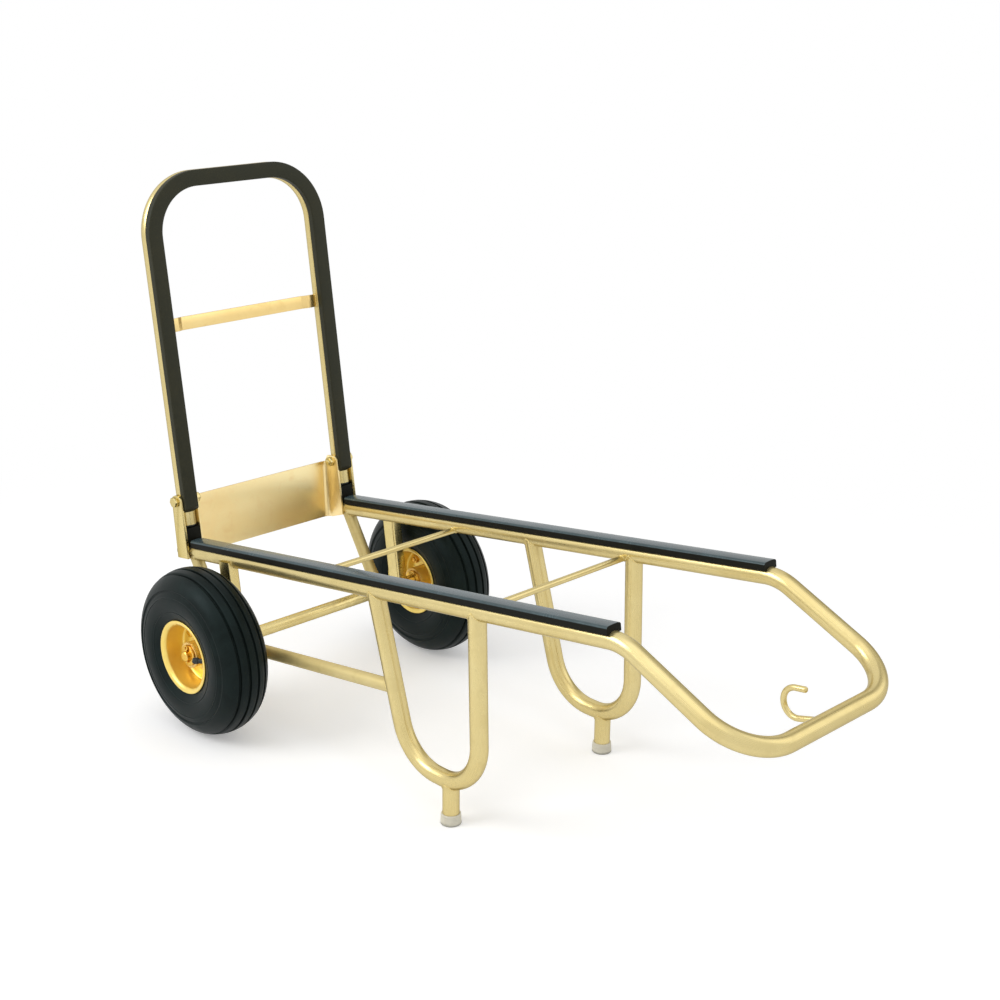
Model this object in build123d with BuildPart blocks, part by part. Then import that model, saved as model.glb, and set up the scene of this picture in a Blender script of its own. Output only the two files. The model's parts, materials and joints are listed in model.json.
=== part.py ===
from build123d import *
import os
from math import cos, radians, sin, sqrt

os.makedirs("parts", exist_ok=True)

# All sizes are in millimetres. The truck rests on its wheels and feet, with the handle towards +X.
# Places on the bed are given along the rails from the hinge corner, across, and above the rail axis.

# Tubes
tube_radius = 12.7
tube_wall = 1.65
bend_radius = 76.0
fit_gap = 0.05
running_gap = 0.35

# Stance
bed_tilt = radians(8.1)
corner_height = 238.5
rail_offset = 155.5

# Rails and handle
rail_rear = -20.0
handle_bend_along = 905.0
handle_end_along = 1085.0
handle_drop = 114.0
plug_flange = 4.0
plug_round = 2.0
plug_depth = 9.0

# Legs and feet, forward of the hinge corner and above the floor
leg_rear_along = 447.6
leg_front_along = 652.6
leg_rear_corner = 513.0
leg_front_corner = 654.0
leg_bottom = 63.5
leg_rear_bend = 76.0
leg_front_bend = 70.0
foot_forward = 597.0
foot_stub_radius = 12.0
foot_sole = 5.0
foot_tip_height = 16.0
foot_top_radius = 14.0
foot_base_radius = 14.8
foot_round = 1.2
foot_groove = 1.5
foot_ring_radius = 10.5
foot_recess_radius = 3.75

# Axle, truss and struts
axle_along = 110.3
axle_radius = 7.94
sleeve_radius = 9.5
truss_radius = 10.0
truss_start_along = 6.6
truss_bend_along = 67.2
truss_end_along = 467.8
truss_above = -139.0
truss_bend_radius = 60.0
strut_length = 25.4
strut_width = 19.0
strut_offset = 165.0

# Cross rods
rod_radius = 4.75
rod_above = -6.5
rear_rod_along = 283.0
front_rod_along = 638.0

# Nose
nose_height = 571.5
nose_bend_radius = 84.0
post_end = 43.5
crossbar_above = 353.5
crossbar_height = 20.5
crossbar_thickness = 4.0
crossbar_set_back = 5.0
crossbar_tab = 16.0
crossbar_joggle = 9.0
crossbar_bend = 5.0

# Hinge
pivot_above = 82.5
pivot_radius = 4.76
bush_radius = 6.5
ear_thickness = 4.8
ear_top = 92.0
ear_bottom = -9.0
ear_front = 13.0
ear_rear_top = -10.5
ear_rear_bottom = -15.0
ear_corner = 9.0
sheet = 3.0
plate_top = 82.0
plate_bottom = -15.0
plate_rear_top = -19.5
plate_rear_bottom = -30.0
plate_bend = 10.0
block_rear = -10.0
block_front = 12.0
hex_flats = 14.3
head_height = 6.0
nut_height = 8.0
bolt_tail = 2.5

# Rubber strips
bumper_round = 2.5
rail_bumper_half_width = 13.0
rail_bumper_lip = 9.0
rail_bumper_top = 21.0
rail_bumper_start = 18.0
rail_bumper_end = 892.0
nose_bumper_half_width = 12.3
nose_bumper_lip = 7.0
nose_bumper_front = 18.7
nose_bumper_end = 64.5
nose_bumper_bevel = 8.0

# Garment hook
hook_radius = 4.0
hook_back = 1019.5
hook_low = -122.5
hook_high = -80.5
hook_tip = 1055.0
hook_bend = 19.0
hook_end_round = 2.4

# Wheels: offsets are outward from the wheel's middle plane, radii from its axis
wheel_radius = 130.0
track = 229.7
tyre_half_width = 43.3
tread_half_width = 24.0
tread_round = 54.0
shoulder_middle = (33.5, 116.6)
shoulder_edge = (40.2, 106.0)
sidewall_top = (39.7, 104.0)
sidewall_middle = 88.0
sidewall_foot = (36.9, 59.2)
bead_radius = 51.0
bead_face = 35.7
bead_top = 57.2
bead_toe = 25.0
bead_heel = 5.5
liner_crown = 121.5
liner_shoulder = (27.0, 114.0)
liner_round = 60.0
liner_middle = (36.2, 88.0)
groove_offsets = (-22.0, -7.5, 7.5, 22.0)
groove_width = 4.0
groove_depth = 3.5
air_radius = 87.5
inner_tube_radius = 31.0
inner_tube_skin = 2.5
lip_radius = 57.3
lip_face = 38.2
rim_sheet = 2.2
dish_bend = 4.0
lip_bend = 7.0
rim_edge_round = 1.05
bead_seat = 50.6
hub_radius = 20.0
hub_outer = 24.0
hub_inner = -30.0
hub_bore = 13.0
bearing_radius = 17.5
bearing_width = 11.0
flange_thickness = 1.6
shield_radius = 15.0
shield_width = 4.0
shield_depth = 0.8
washer_radius = 16.0
washer_thickness = 2.5
washer_gap = 0.3
axle_overhang = 35.0
axle_chamfer = 1.2
cotter_radius = 1.6
cotter_length = 22.0
cotter_eye_rise = 2.6
cotter_eye_radius = 4.2
cotter_eye_wire = 2.2
rim_bolt_circle = 34.0
rim_bolt_radius = 4.0
rim_bolt_count = 4
rim_bolt_flats = 13.0
rim_bolt_head = 5.3
rim_nut_height = 6.5
rim_bolt_tail = 2.0
rim_bolt_start = 45
valve_angle = 3.0
valve_root_offset = 17.0
valve_tip_offset = 34.0
valve_tip_radius = 22.5
valve_radius = 3.9
cap_radius = 4.6
cap_length = 9.0
cap_round = 1.0

sides = (("left", -1), ("right", 1))
rear_reach = nose_height * sin(bed_tilt) + tube_radius
front_reach = handle_end_along * cos(bed_tilt) + handle_drop * sin(bed_tilt) + tube_radius
hinge_x = (rear_reach - front_reach) / 2
along_bed = (cos(bed_tilt), 0, sin(bed_tilt))
off_bed = (-sin(bed_tilt), 0, cos(bed_tilt))
inner_ear_face = rail_offset - tube_radius - sheet
ear_face = rail_offset + tube_radius
tail_end = post_end - plug_flange
axle_above = (wheel_radius - corner_height - axle_along * sin(bed_tilt)) / cos(bed_tilt)
axle_x = hinge_x + axle_along * cos(bed_tilt) - axle_above * sin(bed_tilt)


def bed_point(along, across, above):
    x = hinge_x + along * cos(bed_tilt) - above * sin(bed_tilt)
    z = corner_height + along * sin(bed_tilt) + above * cos(bed_tilt)
    return (x, across, z)


def bed_side(across):
    """Side view of the bed: x along the rails, y off the bed, normal towards the left."""
    return Plane(origin=bed_point(0, across, 0), x_dir=along_bed, z_dir=(0, -1, 0))


def rail_section(along, across):
    """Square to a rail: x across the truck, y off the bed."""
    return Plane(origin=bed_point(along, across, 0), x_dir=(0, 1, 0), z_dir=along_bed)


def post_section(across, above, along=0.0):
    """Square to a nose post: x across the truck, y back along the bed."""
    return Plane(origin=bed_point(along, across, above), x_dir=(0, 1, 0), z_dir=off_bed)


def wheel_section(side):
    """Through a wheel's axis: x outward along the axle, y up the radius."""
    return Plane(origin=(axle_x, side * track, wheel_radius), x_dir=(0, side, 0), z_dir=(side, 0, 0))


def wheel_face(side, offset):
    """Square to the axle at an outward offset, normal outward."""
    return Plane(origin=(axle_x, side * (track + offset), wheel_radius), x_dir=(1, 0, 0), z_dir=(0, side, 0))


def crown_height(offset):
    """The tread's distance from the axle at an offset from the wheel's middle plane."""
    return wheel_radius - tread_round + sqrt(tread_round**2 - offset**2)


def path_start(path):
    return Plane(origin=path @ 0, z_dir=path % 0)


def ring(radius, wall):
    Circle(radius)
    Circle(radius - wall, mode=Mode.SUBTRACT)


def hexagon(flats):
    RegularPolygon(radius=flats / 2, side_count=6, major_radius=False)


def save(builder, name):
    builder.part.label = name
    export_step(builder.part, f"parts/{name}.step")


def rail_core(across):
    with BuildPart() as core:
        with BuildSketch(rail_section(rail_rear, across)):
            Circle(tube_radius)
        extrude(amount=handle_bend_along)
    return core.part


def leg_path(across):
    return FilletPolyline(
        bed_point(leg_rear_along, across, 0),
        (hinge_x + leg_rear_corner, across, leg_bottom),
        (hinge_x + leg_front_corner, across, leg_bottom),
        bed_point(leg_front_along, across, 0),
        radius=[leg_rear_bend, leg_front_bend],
    )


def leg_core(across):
    with BuildPart() as core:
        with BuildLine() as path:
            leg_path(across)
        with BuildSketch(path_start(path.line)):
            Circle(tube_radius)
        sweep()
    return core.part


def sleeve_core():
    with BuildPart() as core:
        with BuildSketch(Plane(origin=(axle_x, 0, wheel_radius), z_dir=(0, 1, 0))):
            Circle(sleeve_radius)
        extrude(amount=track, both=True)
    return core.part


def bumper_profile(half_width, lip, front):
    """Saddle on a tube, flat in front, with thin lips down the tube's flanks."""
    with BuildSketch() as profile:
        with Locations((0, (front + lip) / 2)):
            Rectangle(2 * half_width, front - lip)
        fillet(profile.vertices().group_by(Axis.Y)[-1], radius=bumper_round)
        Circle(tube_radius, mode=Mode.SUBTRACT)
    return profile.sketch


# Frame: both rails and the handle are one bent tube
with BuildPart() as frame_tube:
    with BuildLine() as frame_path:
        FilletPolyline(
            bed_point(rail_rear, -rail_offset, 0),
            bed_point(handle_bend_along, -rail_offset, 0),
            bed_point(handle_end_along, -rail_offset, -handle_drop),
            bed_point(handle_end_along, rail_offset, -handle_drop),
            bed_point(handle_bend_along, rail_offset, 0),
            bed_point(rail_rear, rail_offset, 0),
            radius=bend_radius,
        )
    with BuildSketch(path_start(frame_path.line)):
        ring(tube_radius, tube_wall)
    sweep()
save(frame_tube, "frame_tube")

# Caps in the rails' open ends
with BuildPart() as rail_end_plugs:
    for _, side in sides:
        with BuildSketch(rail_section(rail_rear, side * rail_offset)):
            Circle(tube_radius)
        extrude(amount=-plug_flange)
    fillet(rail_end_plugs.edges().group_by(Axis(bed_point(0, 0, 0), along_bed))[0], radius=plug_round)
    for _, side in sides:
        with BuildSketch(rail_section(rail_rear, side * rail_offset)):
            Circle(tube_radius - tube_wall - fit_gap)
        extrude(amount=plug_depth)
save(rail_end_plugs, "rail_end_plugs")

# Legs: a tube bent into a U on each side, coped under the rail
for name, side in sides:
    with BuildPart() as leg:
        with BuildLine() as path:
            leg_path(side * rail_offset)
        with BuildSketch(path_start(path.line)):
            ring(tube_radius, tube_wall)
        sweep()
        add(rail_core(side * rail_offset), mode=Mode.SUBTRACT)
    save(leg, f"{name}_leg")

    foot_axis = Plane(origin=(hinge_x + foot_forward, side * rail_offset, 0))
    with BuildPart() as foot_stub:
        with BuildSketch(foot_axis.offset(foot_sole)):
            ring(foot_stub_radius, tube_wall)
        extrude(amount=leg_bottom - foot_sole)
        add(leg_core(side * rail_offset), mode=Mode.SUBTRACT)
    save(foot_stub, f"{name}_foot_stub")

    with BuildPart() as foot_tip:
        with BuildSketch(foot_axis):
            Circle(foot_base_radius)
        with BuildSketch(foot_axis.offset(foot_tip_height)):
            Circle(foot_top_radius)
        loft()
        fillet(foot_tip.edges().filter_by(GeomType.CIRCLE), radius=foot_round)
        with BuildSketch(foot_axis.offset(foot_sole)):
            Circle(foot_stub_radius + fit_gap)
        extrude(amount=foot_tip_height, mode=Mode.SUBTRACT)
        with BuildSketch(foot_axis):
            ring(foot_ring_radius, foot_groove)
            Circle(foot_recess_radius)
        extrude(amount=foot_groove, mode=Mode.SUBTRACT)
    save(foot_tip, f"{name}_foot_tip")

# Truss tubes: from the rail's corner down under the axle and along to the leg
for name, side in sides:
    across = side * rail_offset
    with BuildPart() as truss_tube:
        with BuildLine() as path:
            FilletPolyline(
                bed_point(truss_start_along, across, 0),
                bed_point(truss_bend_along, across, truss_above),
                bed_point(truss_end_along, across, truss_above),
                radius=truss_bend_radius,
            )
        with BuildSketch(path_start(path.line)):
            ring(truss_radius, tube_wall)
        sweep()
        add(rail_core(across), mode=Mode.SUBTRACT)
        add(leg_core(across), mode=Mode.SUBTRACT)
        add(sleeve_core(), mode=Mode.SUBTRACT)
    save(truss_tube, f"{name}_truss_tube")

# Struts: box tubes that carry the rails on the axle sleeve, closed at the top
for name, side in sides:
    with BuildPart() as axle_strut:
        with BuildSketch(post_section(side * strut_offset, axle_above, axle_along)):
            Rectangle(strut_width, strut_length)
            Rectangle(strut_width - 2 * tube_wall, strut_length - 2 * tube_wall, mode=Mode.SUBTRACT)
        extrude(amount=-axle_above)
        with BuildSketch(post_section(side * strut_offset, 0, axle_along)):
            Rectangle(strut_width, strut_length)
        extrude(amount=-tube_wall)
        add(rail_core(side * rail_offset), mode=Mode.SUBTRACT)
        add(sleeve_core(), mode=Mode.SUBTRACT)
    save(axle_strut, f"{name}_axle_strut")

# Axle and its sleeve
axle_half = track + axle_overhang
cotter_offset = hub_outer + flange_thickness + washer_gap + washer_thickness + cotter_radius + washer_gap
axle_middle = Plane(origin=(axle_x, 0, wheel_radius), z_dir=(0, 1, 0))
with BuildPart() as axle:
    with BuildSketch(axle_middle):
        Circle(axle_radius)
    extrude(amount=axle_half, both=True)
    chamfer(axle.edges().group_by(Axis.Y)[0] + axle.edges().group_by(Axis.Y)[-1], length=axle_chamfer)
    for _, side in sides:
        with BuildSketch(Plane(origin=(axle_x, side * (track + cotter_offset), wheel_radius))):
            Circle(cotter_radius + fit_gap)
        extrude(amount=axle_radius * 2, both=True, mode=Mode.SUBTRACT)
save(axle, "axle")

sleeve_half = track + hub_inner - flange_thickness - washer_thickness - 2 * washer_gap
with BuildPart() as axle_sleeve:
    with BuildSketch(axle_middle):
        ring(sleeve_radius, sleeve_radius - axle_radius - fit_gap)
    extrude(amount=sleeve_half, both=True)
save(axle_sleeve, "axle_sleeve")

with BuildPart() as axle_washers:
    for _, side in sides:
        outer_face = hub_outer + flange_thickness + washer_gap
        inner_face = hub_inner - flange_thickness - washer_gap - washer_thickness
        for offset in (outer_face, inner_face):
            with BuildSketch(wheel_face(side, offset)):
                ring(washer_radius, washer_radius - axle_radius - fit_gap)
            extrude(amount=washer_thickness)
save(axle_washers, "axle_washers")

# Cotter pins with an eye above the axle
with BuildPart() as cotter_pins:
    for _, side in sides:
        pin_top = Plane(origin=(axle_x, side * (track + cotter_offset), wheel_radius + cotter_length / 2))
        with BuildSketch(pin_top):
            Circle(cotter_radius)
        extrude(amount=-cotter_length)
        with BuildSketch(Plane(origin=pin_top.origin, x_dir=(1, 0, 0), z_dir=(0, -1, 0))):
            with Locations((0, cotter_eye_rise)):
                ring(cotter_eye_radius, cotter_eye_wire)
        extrude(amount=cotter_eye_wire / 2, both=True)
save(cotter_pins, "cotter_pins")

# Cross rods between the rails
for name, along in (("rear", rear_rod_along), ("front", front_rod_along)):
    with BuildPart() as cross_rod:
        with BuildSketch(bed_side(0)):
            with Locations((along, rod_above)):
                Circle(rod_radius)
        extrude(amount=rail_offset, both=True)
        for _, side in sides:
            add(rail_core(side * rail_offset), mode=Mode.SUBTRACT)
    save(cross_rod, f"{name}_cross_rod")

# Toe plate: one folded sheet whose end flanges are the inner hinge ears
plate_bottom_edge = Vector(bed_point(plate_rear_bottom, 0, plate_bottom))
plate_top_edge = Vector(bed_point(plate_rear_top, 0, plate_top))
plate_rise = (plate_top_edge - plate_bottom_edge).normalized()
flange_middle = inner_ear_face + sheet / 2
flange_reach = ear_front - plate_rear_bottom + sheet
with BuildPart() as toe_plate:
    with BuildSketch(Plane(origin=plate_bottom_edge - plate_rise * sheet, x_dir=(0, 1, 0), z_dir=plate_rise)):
        with BuildLine():
            FilletPolyline(
                (-flange_middle, -flange_reach),
                (-flange_middle, -sheet / 2),
                (flange_middle, -sheet / 2),
                (flange_middle, -flange_reach),
                radius=plate_bend,
            )
        trace(line_width=sheet)
    extrude(amount=2 * ear_top)
    with BuildSketch(bed_side(0)) as flange_outline:
        Polygon(
            (plate_rear_bottom - sheet, plate_bottom),
            (ear_rear_bottom, plate_bottom),
            (ear_front, ear_bottom),
            (ear_front, ear_top),
            (ear_rear_top, ear_top),
            (ear_rear_bottom, plate_top),
            (plate_rear_bottom - sheet, plate_top),
            align=None,
        )
        fillet(flange_outline.vertices().sort_by(Axis.X)[-2:].sort_by(Axis.Y)[-1], radius=ear_corner)
    extrude(amount=rail_offset, both=True, mode=Mode.INTERSECT)
    with BuildSketch(bed_side(0)):
        with Locations((0, pivot_above)):
            Circle(pivot_radius + fit_gap)
    extrude(amount=rail_offset, both=True, mode=Mode.SUBTRACT)
save(toe_plate, "toe_plate")

# Outer hinge ears, and the rubber blocks on the rails that the open nose stands on
for name, side in sides:
    with BuildPart() as hinge_ear:
        with BuildSketch(bed_side(side * ear_face)) as outline:
            Polygon(
                (ear_rear_bottom, ear_bottom),
                (ear_front, ear_bottom),
                (ear_front, ear_top),
                (ear_rear_top, ear_top),
                align=None,
            )
            fillet(outline.vertices().group_by(Axis.Y)[-1], radius=ear_corner)
            with Locations((0, pivot_above)):
                Circle(pivot_radius + fit_gap, mode=Mode.SUBTRACT)
        extrude(amount=-side * ear_thickness)
    save(hinge_ear, f"{name}_hinge_ear")

    with BuildPart() as stop_block:
        with BuildSketch(bed_side(side * rail_offset)):
            with Locations((block_rear, 0)):
                Rectangle(block_front - block_rear, tail_end - running_gap, align=(Align.MIN, Align.MIN))
        extrude(amount=tube_radius - fit_gap, both=True)
        add(rail_core(side * rail_offset), mode=Mode.SUBTRACT)
    save(stop_block, f"{name}_stop_block")

# Pivot bolts and nuts
with BuildPart() as pivot_bolts:
    for _, side in sides:
        head_face = bed_side(side * (ear_face + ear_thickness))
        with BuildSketch(head_face):
            with Locations((0, pivot_above)):
                hexagon(hex_flats)
        extrude(amount=-side * head_height)
        with BuildSketch(head_face):
            with Locations((0, pivot_above)):
                Circle(pivot_radius)
        extrude(amount=side * (ear_thickness + 2 * tube_radius + sheet + nut_height + bolt_tail))
save(pivot_bolts, "pivot_bolts")

with BuildPart() as pivot_nuts:
    for _, side in sides:
        with BuildSketch(bed_side(side * inner_ear_face)):
            with Locations((0, pivot_above)):
                hexagon(hex_flats)
                Circle(pivot_radius + fit_gap, mode=Mode.SUBTRACT)
        extrude(amount=side * nut_height)
save(pivot_nuts, "pivot_nuts")

# Rubber strips on the rails
for name, side in sides:
    with BuildPart() as rail_bumper:
        with BuildSketch(rail_section(rail_bumper_start, side * rail_offset)):
            add(bumper_profile(rail_bumper_half_width, rail_bumper_lip, rail_bumper_top))
        extrude(amount=rail_bumper_end - rail_bumper_start)
    save(rail_bumper, f"{name}_rail_bumper")

# Garment hook in the middle of the handle
with BuildPart() as garment_hook:
    with BuildLine() as hook_path:
        FilletPolyline(
            bed_point(handle_end_along, 0, -handle_drop),
            bed_point(hook_back, 0, hook_low),
            bed_point(hook_back, 0, hook_high),
            bed_point(hook_tip, 0, hook_high),
            radius=hook_bend,
        )
    with BuildSketch(path_start(hook_path.line)):
        Circle(hook_radius)
    sweep()
    flat_ends = garment_hook.faces().filter_by(GeomType.PLANE)
    fillet(flat_ends.sort_by_distance(bed_point(hook_tip, 0, hook_high))[0].edges(), radius=hook_end_round)
    with BuildSketch(bed_side(0)):
        with Locations((handle_end_along, -handle_drop)):
            Circle(tube_radius)
    extrude(amount=bend_radius, both=True, mode=Mode.SUBTRACT)
save(garment_hook, "garment_hook")

# Nose loop: a bent U tube with flats where its posts run between the hinge ears
with BuildPart() as nose_loop:
    with BuildLine() as nose_path:
        FilletPolyline(
            bed_point(0, -rail_offset, post_end),
            bed_point(0, -rail_offset, nose_height),
            bed_point(0, rail_offset, nose_height),
            bed_point(0, rail_offset, post_end),
            radius=nose_bend_radius,
        )
    with BuildSketch(path_start(nose_path.line)):
        ring(tube_radius, tube_wall)
    sweep()
    for _, side in sides:
        with BuildSketch(post_section(side * rail_offset, post_end)):
            for flank in (-1, 1):
                with Locations((flank * tube_radius, 0)):
                    Rectangle(2 * running_gap, 2 * tube_radius)
        extrude(amount=ear_top + running_gap - post_end, mode=Mode.SUBTRACT)
        with BuildSketch(bed_side(side * rail_offset)):
            with Locations((0, pivot_above)):
                Circle(bush_radius)
        extrude(amount=tube_radius, both=True, mode=Mode.SUBTRACT)
save(nose_loop, "nose_loop")

with BuildPart() as pivot_bushes:
    for _, side in sides:
        with BuildSketch(bed_side(side * rail_offset)):
            with Locations((0, pivot_above)):
                ring(bush_radius, bush_radius - pivot_radius - fit_gap)
        extrude(amount=tube_radius - running_gap, both=True)
save(pivot_bushes, "pivot_bushes")

# Plugs in the posts' lower ends, with the heel rounded about the pivot so that it swings off its block
with BuildPart() as nose_end_plugs:
    for _, side in sides:
        with BuildSketch(post_section(side * rail_offset, tail_end)):
            Circle(tube_radius - 2 * running_gap)
        extrude(amount=plug_flange)
        with BuildSketch(post_section(side * rail_offset, post_end)):
            Circle(tube_radius - tube_wall - fit_gap)
        extrude(amount=plug_depth)
    with BuildSketch(bed_side(0)):
        with Locations((0, tail_end)):
            Rectangle(2 * tube_radius, plug_flange, align=(Align.MIN, Align.MIN))
        with Locations((0, pivot_above)):
            Circle(pivot_above - tail_end, mode=Mode.SUBTRACT)
    extrude(amount=ear_face, both=True, mode=Mode.SUBTRACT)
save(nose_end_plugs, "nose_end_plugs")

# Crossbar: flat bar, joggled back between its two welded end tabs
tab_start = rail_offset - tube_radius / 2
tab_end = rail_offset - tube_radius - crossbar_tab
with BuildPart() as nose_crossbar:
    with BuildSketch(post_section(0, crossbar_above - crossbar_height / 2)):
        with BuildLine():
            FilletPolyline(
                (-tab_start, 0),
                (-tab_end, 0),
                (crossbar_joggle - tab_end, crossbar_set_back),
                (tab_end - crossbar_joggle, crossbar_set_back),
                (tab_end, 0),
                (tab_start, 0),
                radius=crossbar_bend,
            )
        trace(line_width=crossbar_thickness)
    extrude(amount=crossbar_height)
    for _, side in sides:
        with BuildSketch(post_section(side * rail_offset, post_end)):
            Circle(tube_radius)
        extrude(amount=nose_height - post_end, mode=Mode.SUBTRACT)
save(nose_crossbar, "nose_crossbar")

# Rubber strip round the nose, bevelled at its ends
with BuildPart() as nose_bumper:
    with BuildLine() as strip_path:
        FilletPolyline(
            bed_point(0, -rail_offset, nose_bumper_end),
            bed_point(0, -rail_offset, nose_height),
            bed_point(0, rail_offset, nose_height),
            bed_point(0, rail_offset, nose_bumper_end),
            radius=nose_bend_radius,
        )
    start = bed_point(0, -rail_offset, nose_bumper_end)
    with BuildSketch(Plane(origin=start, x_dir=(0, -1, 0), z_dir=off_bed)):
        add(bumper_profile(nose_bumper_half_width, nose_bumper_lip, nose_bumper_front))
    sweep()
    with BuildSketch(bed_side(0)):
        Polygon(
            (0, nose_bumper_end - bumper_round),
            (nose_bumper_front + bumper_round, nose_bumper_end - bumper_round),
            (nose_bumper_front + bumper_round, nose_bumper_end + nose_bumper_bevel),
            (tube_radius, nose_bumper_end),
            (0, nose_bumper_end),
            align=None,
        )
    extrude(amount=rail_offset + 2 * tube_radius, both=True, mode=Mode.SUBTRACT)
save(nose_bumper, "nose_bumper")

# Wheels
for name, side in sides:
    wheel_middle = Vector(axle_x, side * track, wheel_radius)
    outward = Vector(0, side, 0)
    wheel_axis = Axis(wheel_middle, outward)
    valve_spoke = Vector(1, 0, 0).rotate(Axis.Y, -valve_angle)
    valve_root = wheel_middle + outward * valve_root_offset + valve_spoke * bead_seat
    valve_tip = wheel_middle + outward * valve_tip_offset + valve_spoke * valve_tip_radius
    valve_line = valve_tip - valve_root
    valve_seat = Plane(origin=valve_root, z_dir=valve_line)

    # Pneumatic tyre: ribbed round tread, stepped shoulder, full sidewall and a bead that sits in the rim
    with BuildPart() as tyre:
        with BuildSketch(wheel_section(side)):
            with BuildLine():
                tread_edge = (tread_half_width, crown_height(tread_half_width))
                crown = RadiusArc((0, wheel_radius), tread_edge, tread_round)
                shoulder = ThreePointArc(crown @ 1, shoulder_middle, shoulder_edge)
                step = Line(shoulder @ 1, sidewall_top)
                sidewall = ThreePointArc(step @ 1, (tyre_half_width, sidewall_middle), sidewall_foot)
                bead = Polyline(
                    sidewall @ 1,
                    (bead_face, bead_top),
                    (bead_face, bead_radius + bead_heel),
                    (bead_face - bead_heel, bead_radius),
                    (bead_toe, bead_radius),
                )
                liner = ThreePointArc(bead @ 1, liner_middle, liner_shoulder)
                RadiusArc(liner @ 1, (0, liner_crown), -liner_round)
                mirror(about=Plane.YZ)
            make_face()
        revolve(axis=wheel_axis)
        with BuildSketch(wheel_section(side)):
            for offset in groove_offsets:
                with Locations((offset, crown_height(offset))):
                    Rectangle(groove_width, 2 * groove_depth)
        revolve(axis=wheel_axis, mode=Mode.SUBTRACT)
    save(tyre, f"{name}_tyre")

    with BuildPart() as inner_tube:
        with BuildSketch(wheel_section(side)):
            with Locations((0, air_radius)):
                ring(inner_tube_radius, inner_tube_skin)
        revolve(axis=wheel_axis)
    save(inner_tube, f"{name}_inner_tube")

    # Split rim: two deep pressed dishes bolted back to back
    for half_name, half in (("outer", 1), ("inner", -1)):
        with BuildPart() as rim:
            with BuildSketch(wheel_section(side)) as rim_half:
                Polygon(
                    (half * fit_gap, hub_radius + fit_gap),
                    (half * rim_sheet, hub_radius + fit_gap),
                    (half * rim_sheet, bead_seat - rim_sheet),
                    (half * lip_face, bead_seat - rim_sheet),
                    (half * lip_face, lip_radius),
                    (half * (lip_face - rim_sheet), lip_radius),
                    (half * (lip_face - rim_sheet), bead_seat),
                    (half * fit_gap, bead_seat),
                    align=None,
                )
                bends = (
                    (rim_sheet, bead_seat - rim_sheet, dish_bend),
                    (lip_face, bead_seat - rim_sheet, lip_bend),
                    (lip_face - rim_sheet, bead_seat, lip_bend - rim_sheet),
                )
                for offset, height, bend in bends:
                    corner = rim_half.vertices().sort_by_distance((half * offset, height))[0]
                    fillet(corner, radius=bend)
                fillet(rim_half.vertices().group_by(Axis.Y)[-1], radius=rim_edge_round)
            revolve(axis=wheel_axis)
            with BuildSketch(wheel_face(side, 0)):
                with PolarLocations(rim_bolt_circle, rim_bolt_count, start_angle=rim_bolt_start):
                    Circle(rim_bolt_radius + fit_gap)
            extrude(amount=lip_face, both=True, mode=Mode.SUBTRACT)
            if half == 1:
                with BuildSketch(valve_seat):
                    Circle(valve_radius + fit_gap)
                extrude(amount=2 * valve_radius, both=True, mode=Mode.SUBTRACT)
        save(rim, f"{name}_{half_name}_rim")

    # Hub tube with a seat at each end for a flanged bearing
    with BuildPart() as hub:
        with BuildSketch(wheel_face(side, hub_inner)):
            ring(hub_radius, hub_radius - hub_bore)
        extrude(amount=hub_outer - hub_inner)
        for face, direction in ((hub_inner, 1), (hub_outer, -1)):
            with BuildSketch(wheel_face(side, face)):
                Circle(bearing_radius)
            extrude(amount=direction * bearing_width, mode=Mode.SUBTRACT)
    save(hub, f"{name}_hub")

    with BuildPart() as bearings:
        for face, direction in ((hub_inner, 1), (hub_outer, -1)):
            with BuildSketch(wheel_face(side, face)):
                ring(bearing_radius - fit_gap, bearing_radius - axle_radius - 2 * fit_gap)
            extrude(amount=direction * (bearing_width - fit_gap))
            with BuildSketch(wheel_face(side, face)):
                ring(hub_radius, hub_radius - axle_radius - fit_gap)
            extrude(amount=-direction * flange_thickness)
            with BuildSketch(wheel_face(side, face - direction * flange_thickness)):
                ring(shield_radius, shield_width)
            extrude(amount=direction * shield_depth, mode=Mode.SUBTRACT)
    save(bearings, f"{name}_bearings")

    with BuildPart() as rim_bolts:
        with BuildSketch(wheel_face(side, rim_sheet)):
            with PolarLocations(rim_bolt_circle, rim_bolt_count, start_angle=rim_bolt_start):
                hexagon(rim_bolt_flats)
        extrude(amount=rim_bolt_head)
        with BuildSketch(wheel_face(side, rim_sheet)):
            with PolarLocations(rim_bolt_circle, rim_bolt_count, start_angle=rim_bolt_start):
                Circle(rim_bolt_radius)
        extrude(amount=-2 * rim_sheet - rim_nut_height - rim_bolt_tail)
    save(rim_bolts, f"{name}_rim_bolts")

    with BuildPart() as rim_nuts:
        with BuildSketch(wheel_face(side, -rim_sheet)):
            with PolarLocations(rim_bolt_circle, rim_bolt_count, start_angle=rim_bolt_start):
                hexagon(rim_bolt_flats)
                Circle(rim_bolt_radius + fit_gap, mode=Mode.SUBTRACT)
        extrude(amount=-rim_nut_height)
    save(rim_nuts, f"{name}_rim_nuts")

    # Valve: a straight stem that slants out through the outer dish's wall, with its cap
    stem_length = valve_line.length - cap_length
    with BuildPart() as valve_stem:
        with BuildSketch(valve_seat):
            Circle(valve_radius)
        extrude(amount=stem_length)
    save(valve_stem, f"{name}_valve_stem")

    with BuildPart() as valve_cap:
        with BuildSketch(valve_seat.offset(stem_length)):
            Circle(cap_radius)
        extrude(amount=cap_length)
        cap_ends = valve_cap.faces().filter_by(GeomType.PLANE)
        fillet(cap_ends.sort_by_distance(valve_tip)[0].edges(), radius=cap_round)
    save(valve_cap, f"{name}_valve_cap")
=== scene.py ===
import json
from math import asin, cos, pi, radians, sin, sqrt, tan, tau

import bmesh
import bpy
from mathutils import Matrix, Vector


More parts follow.
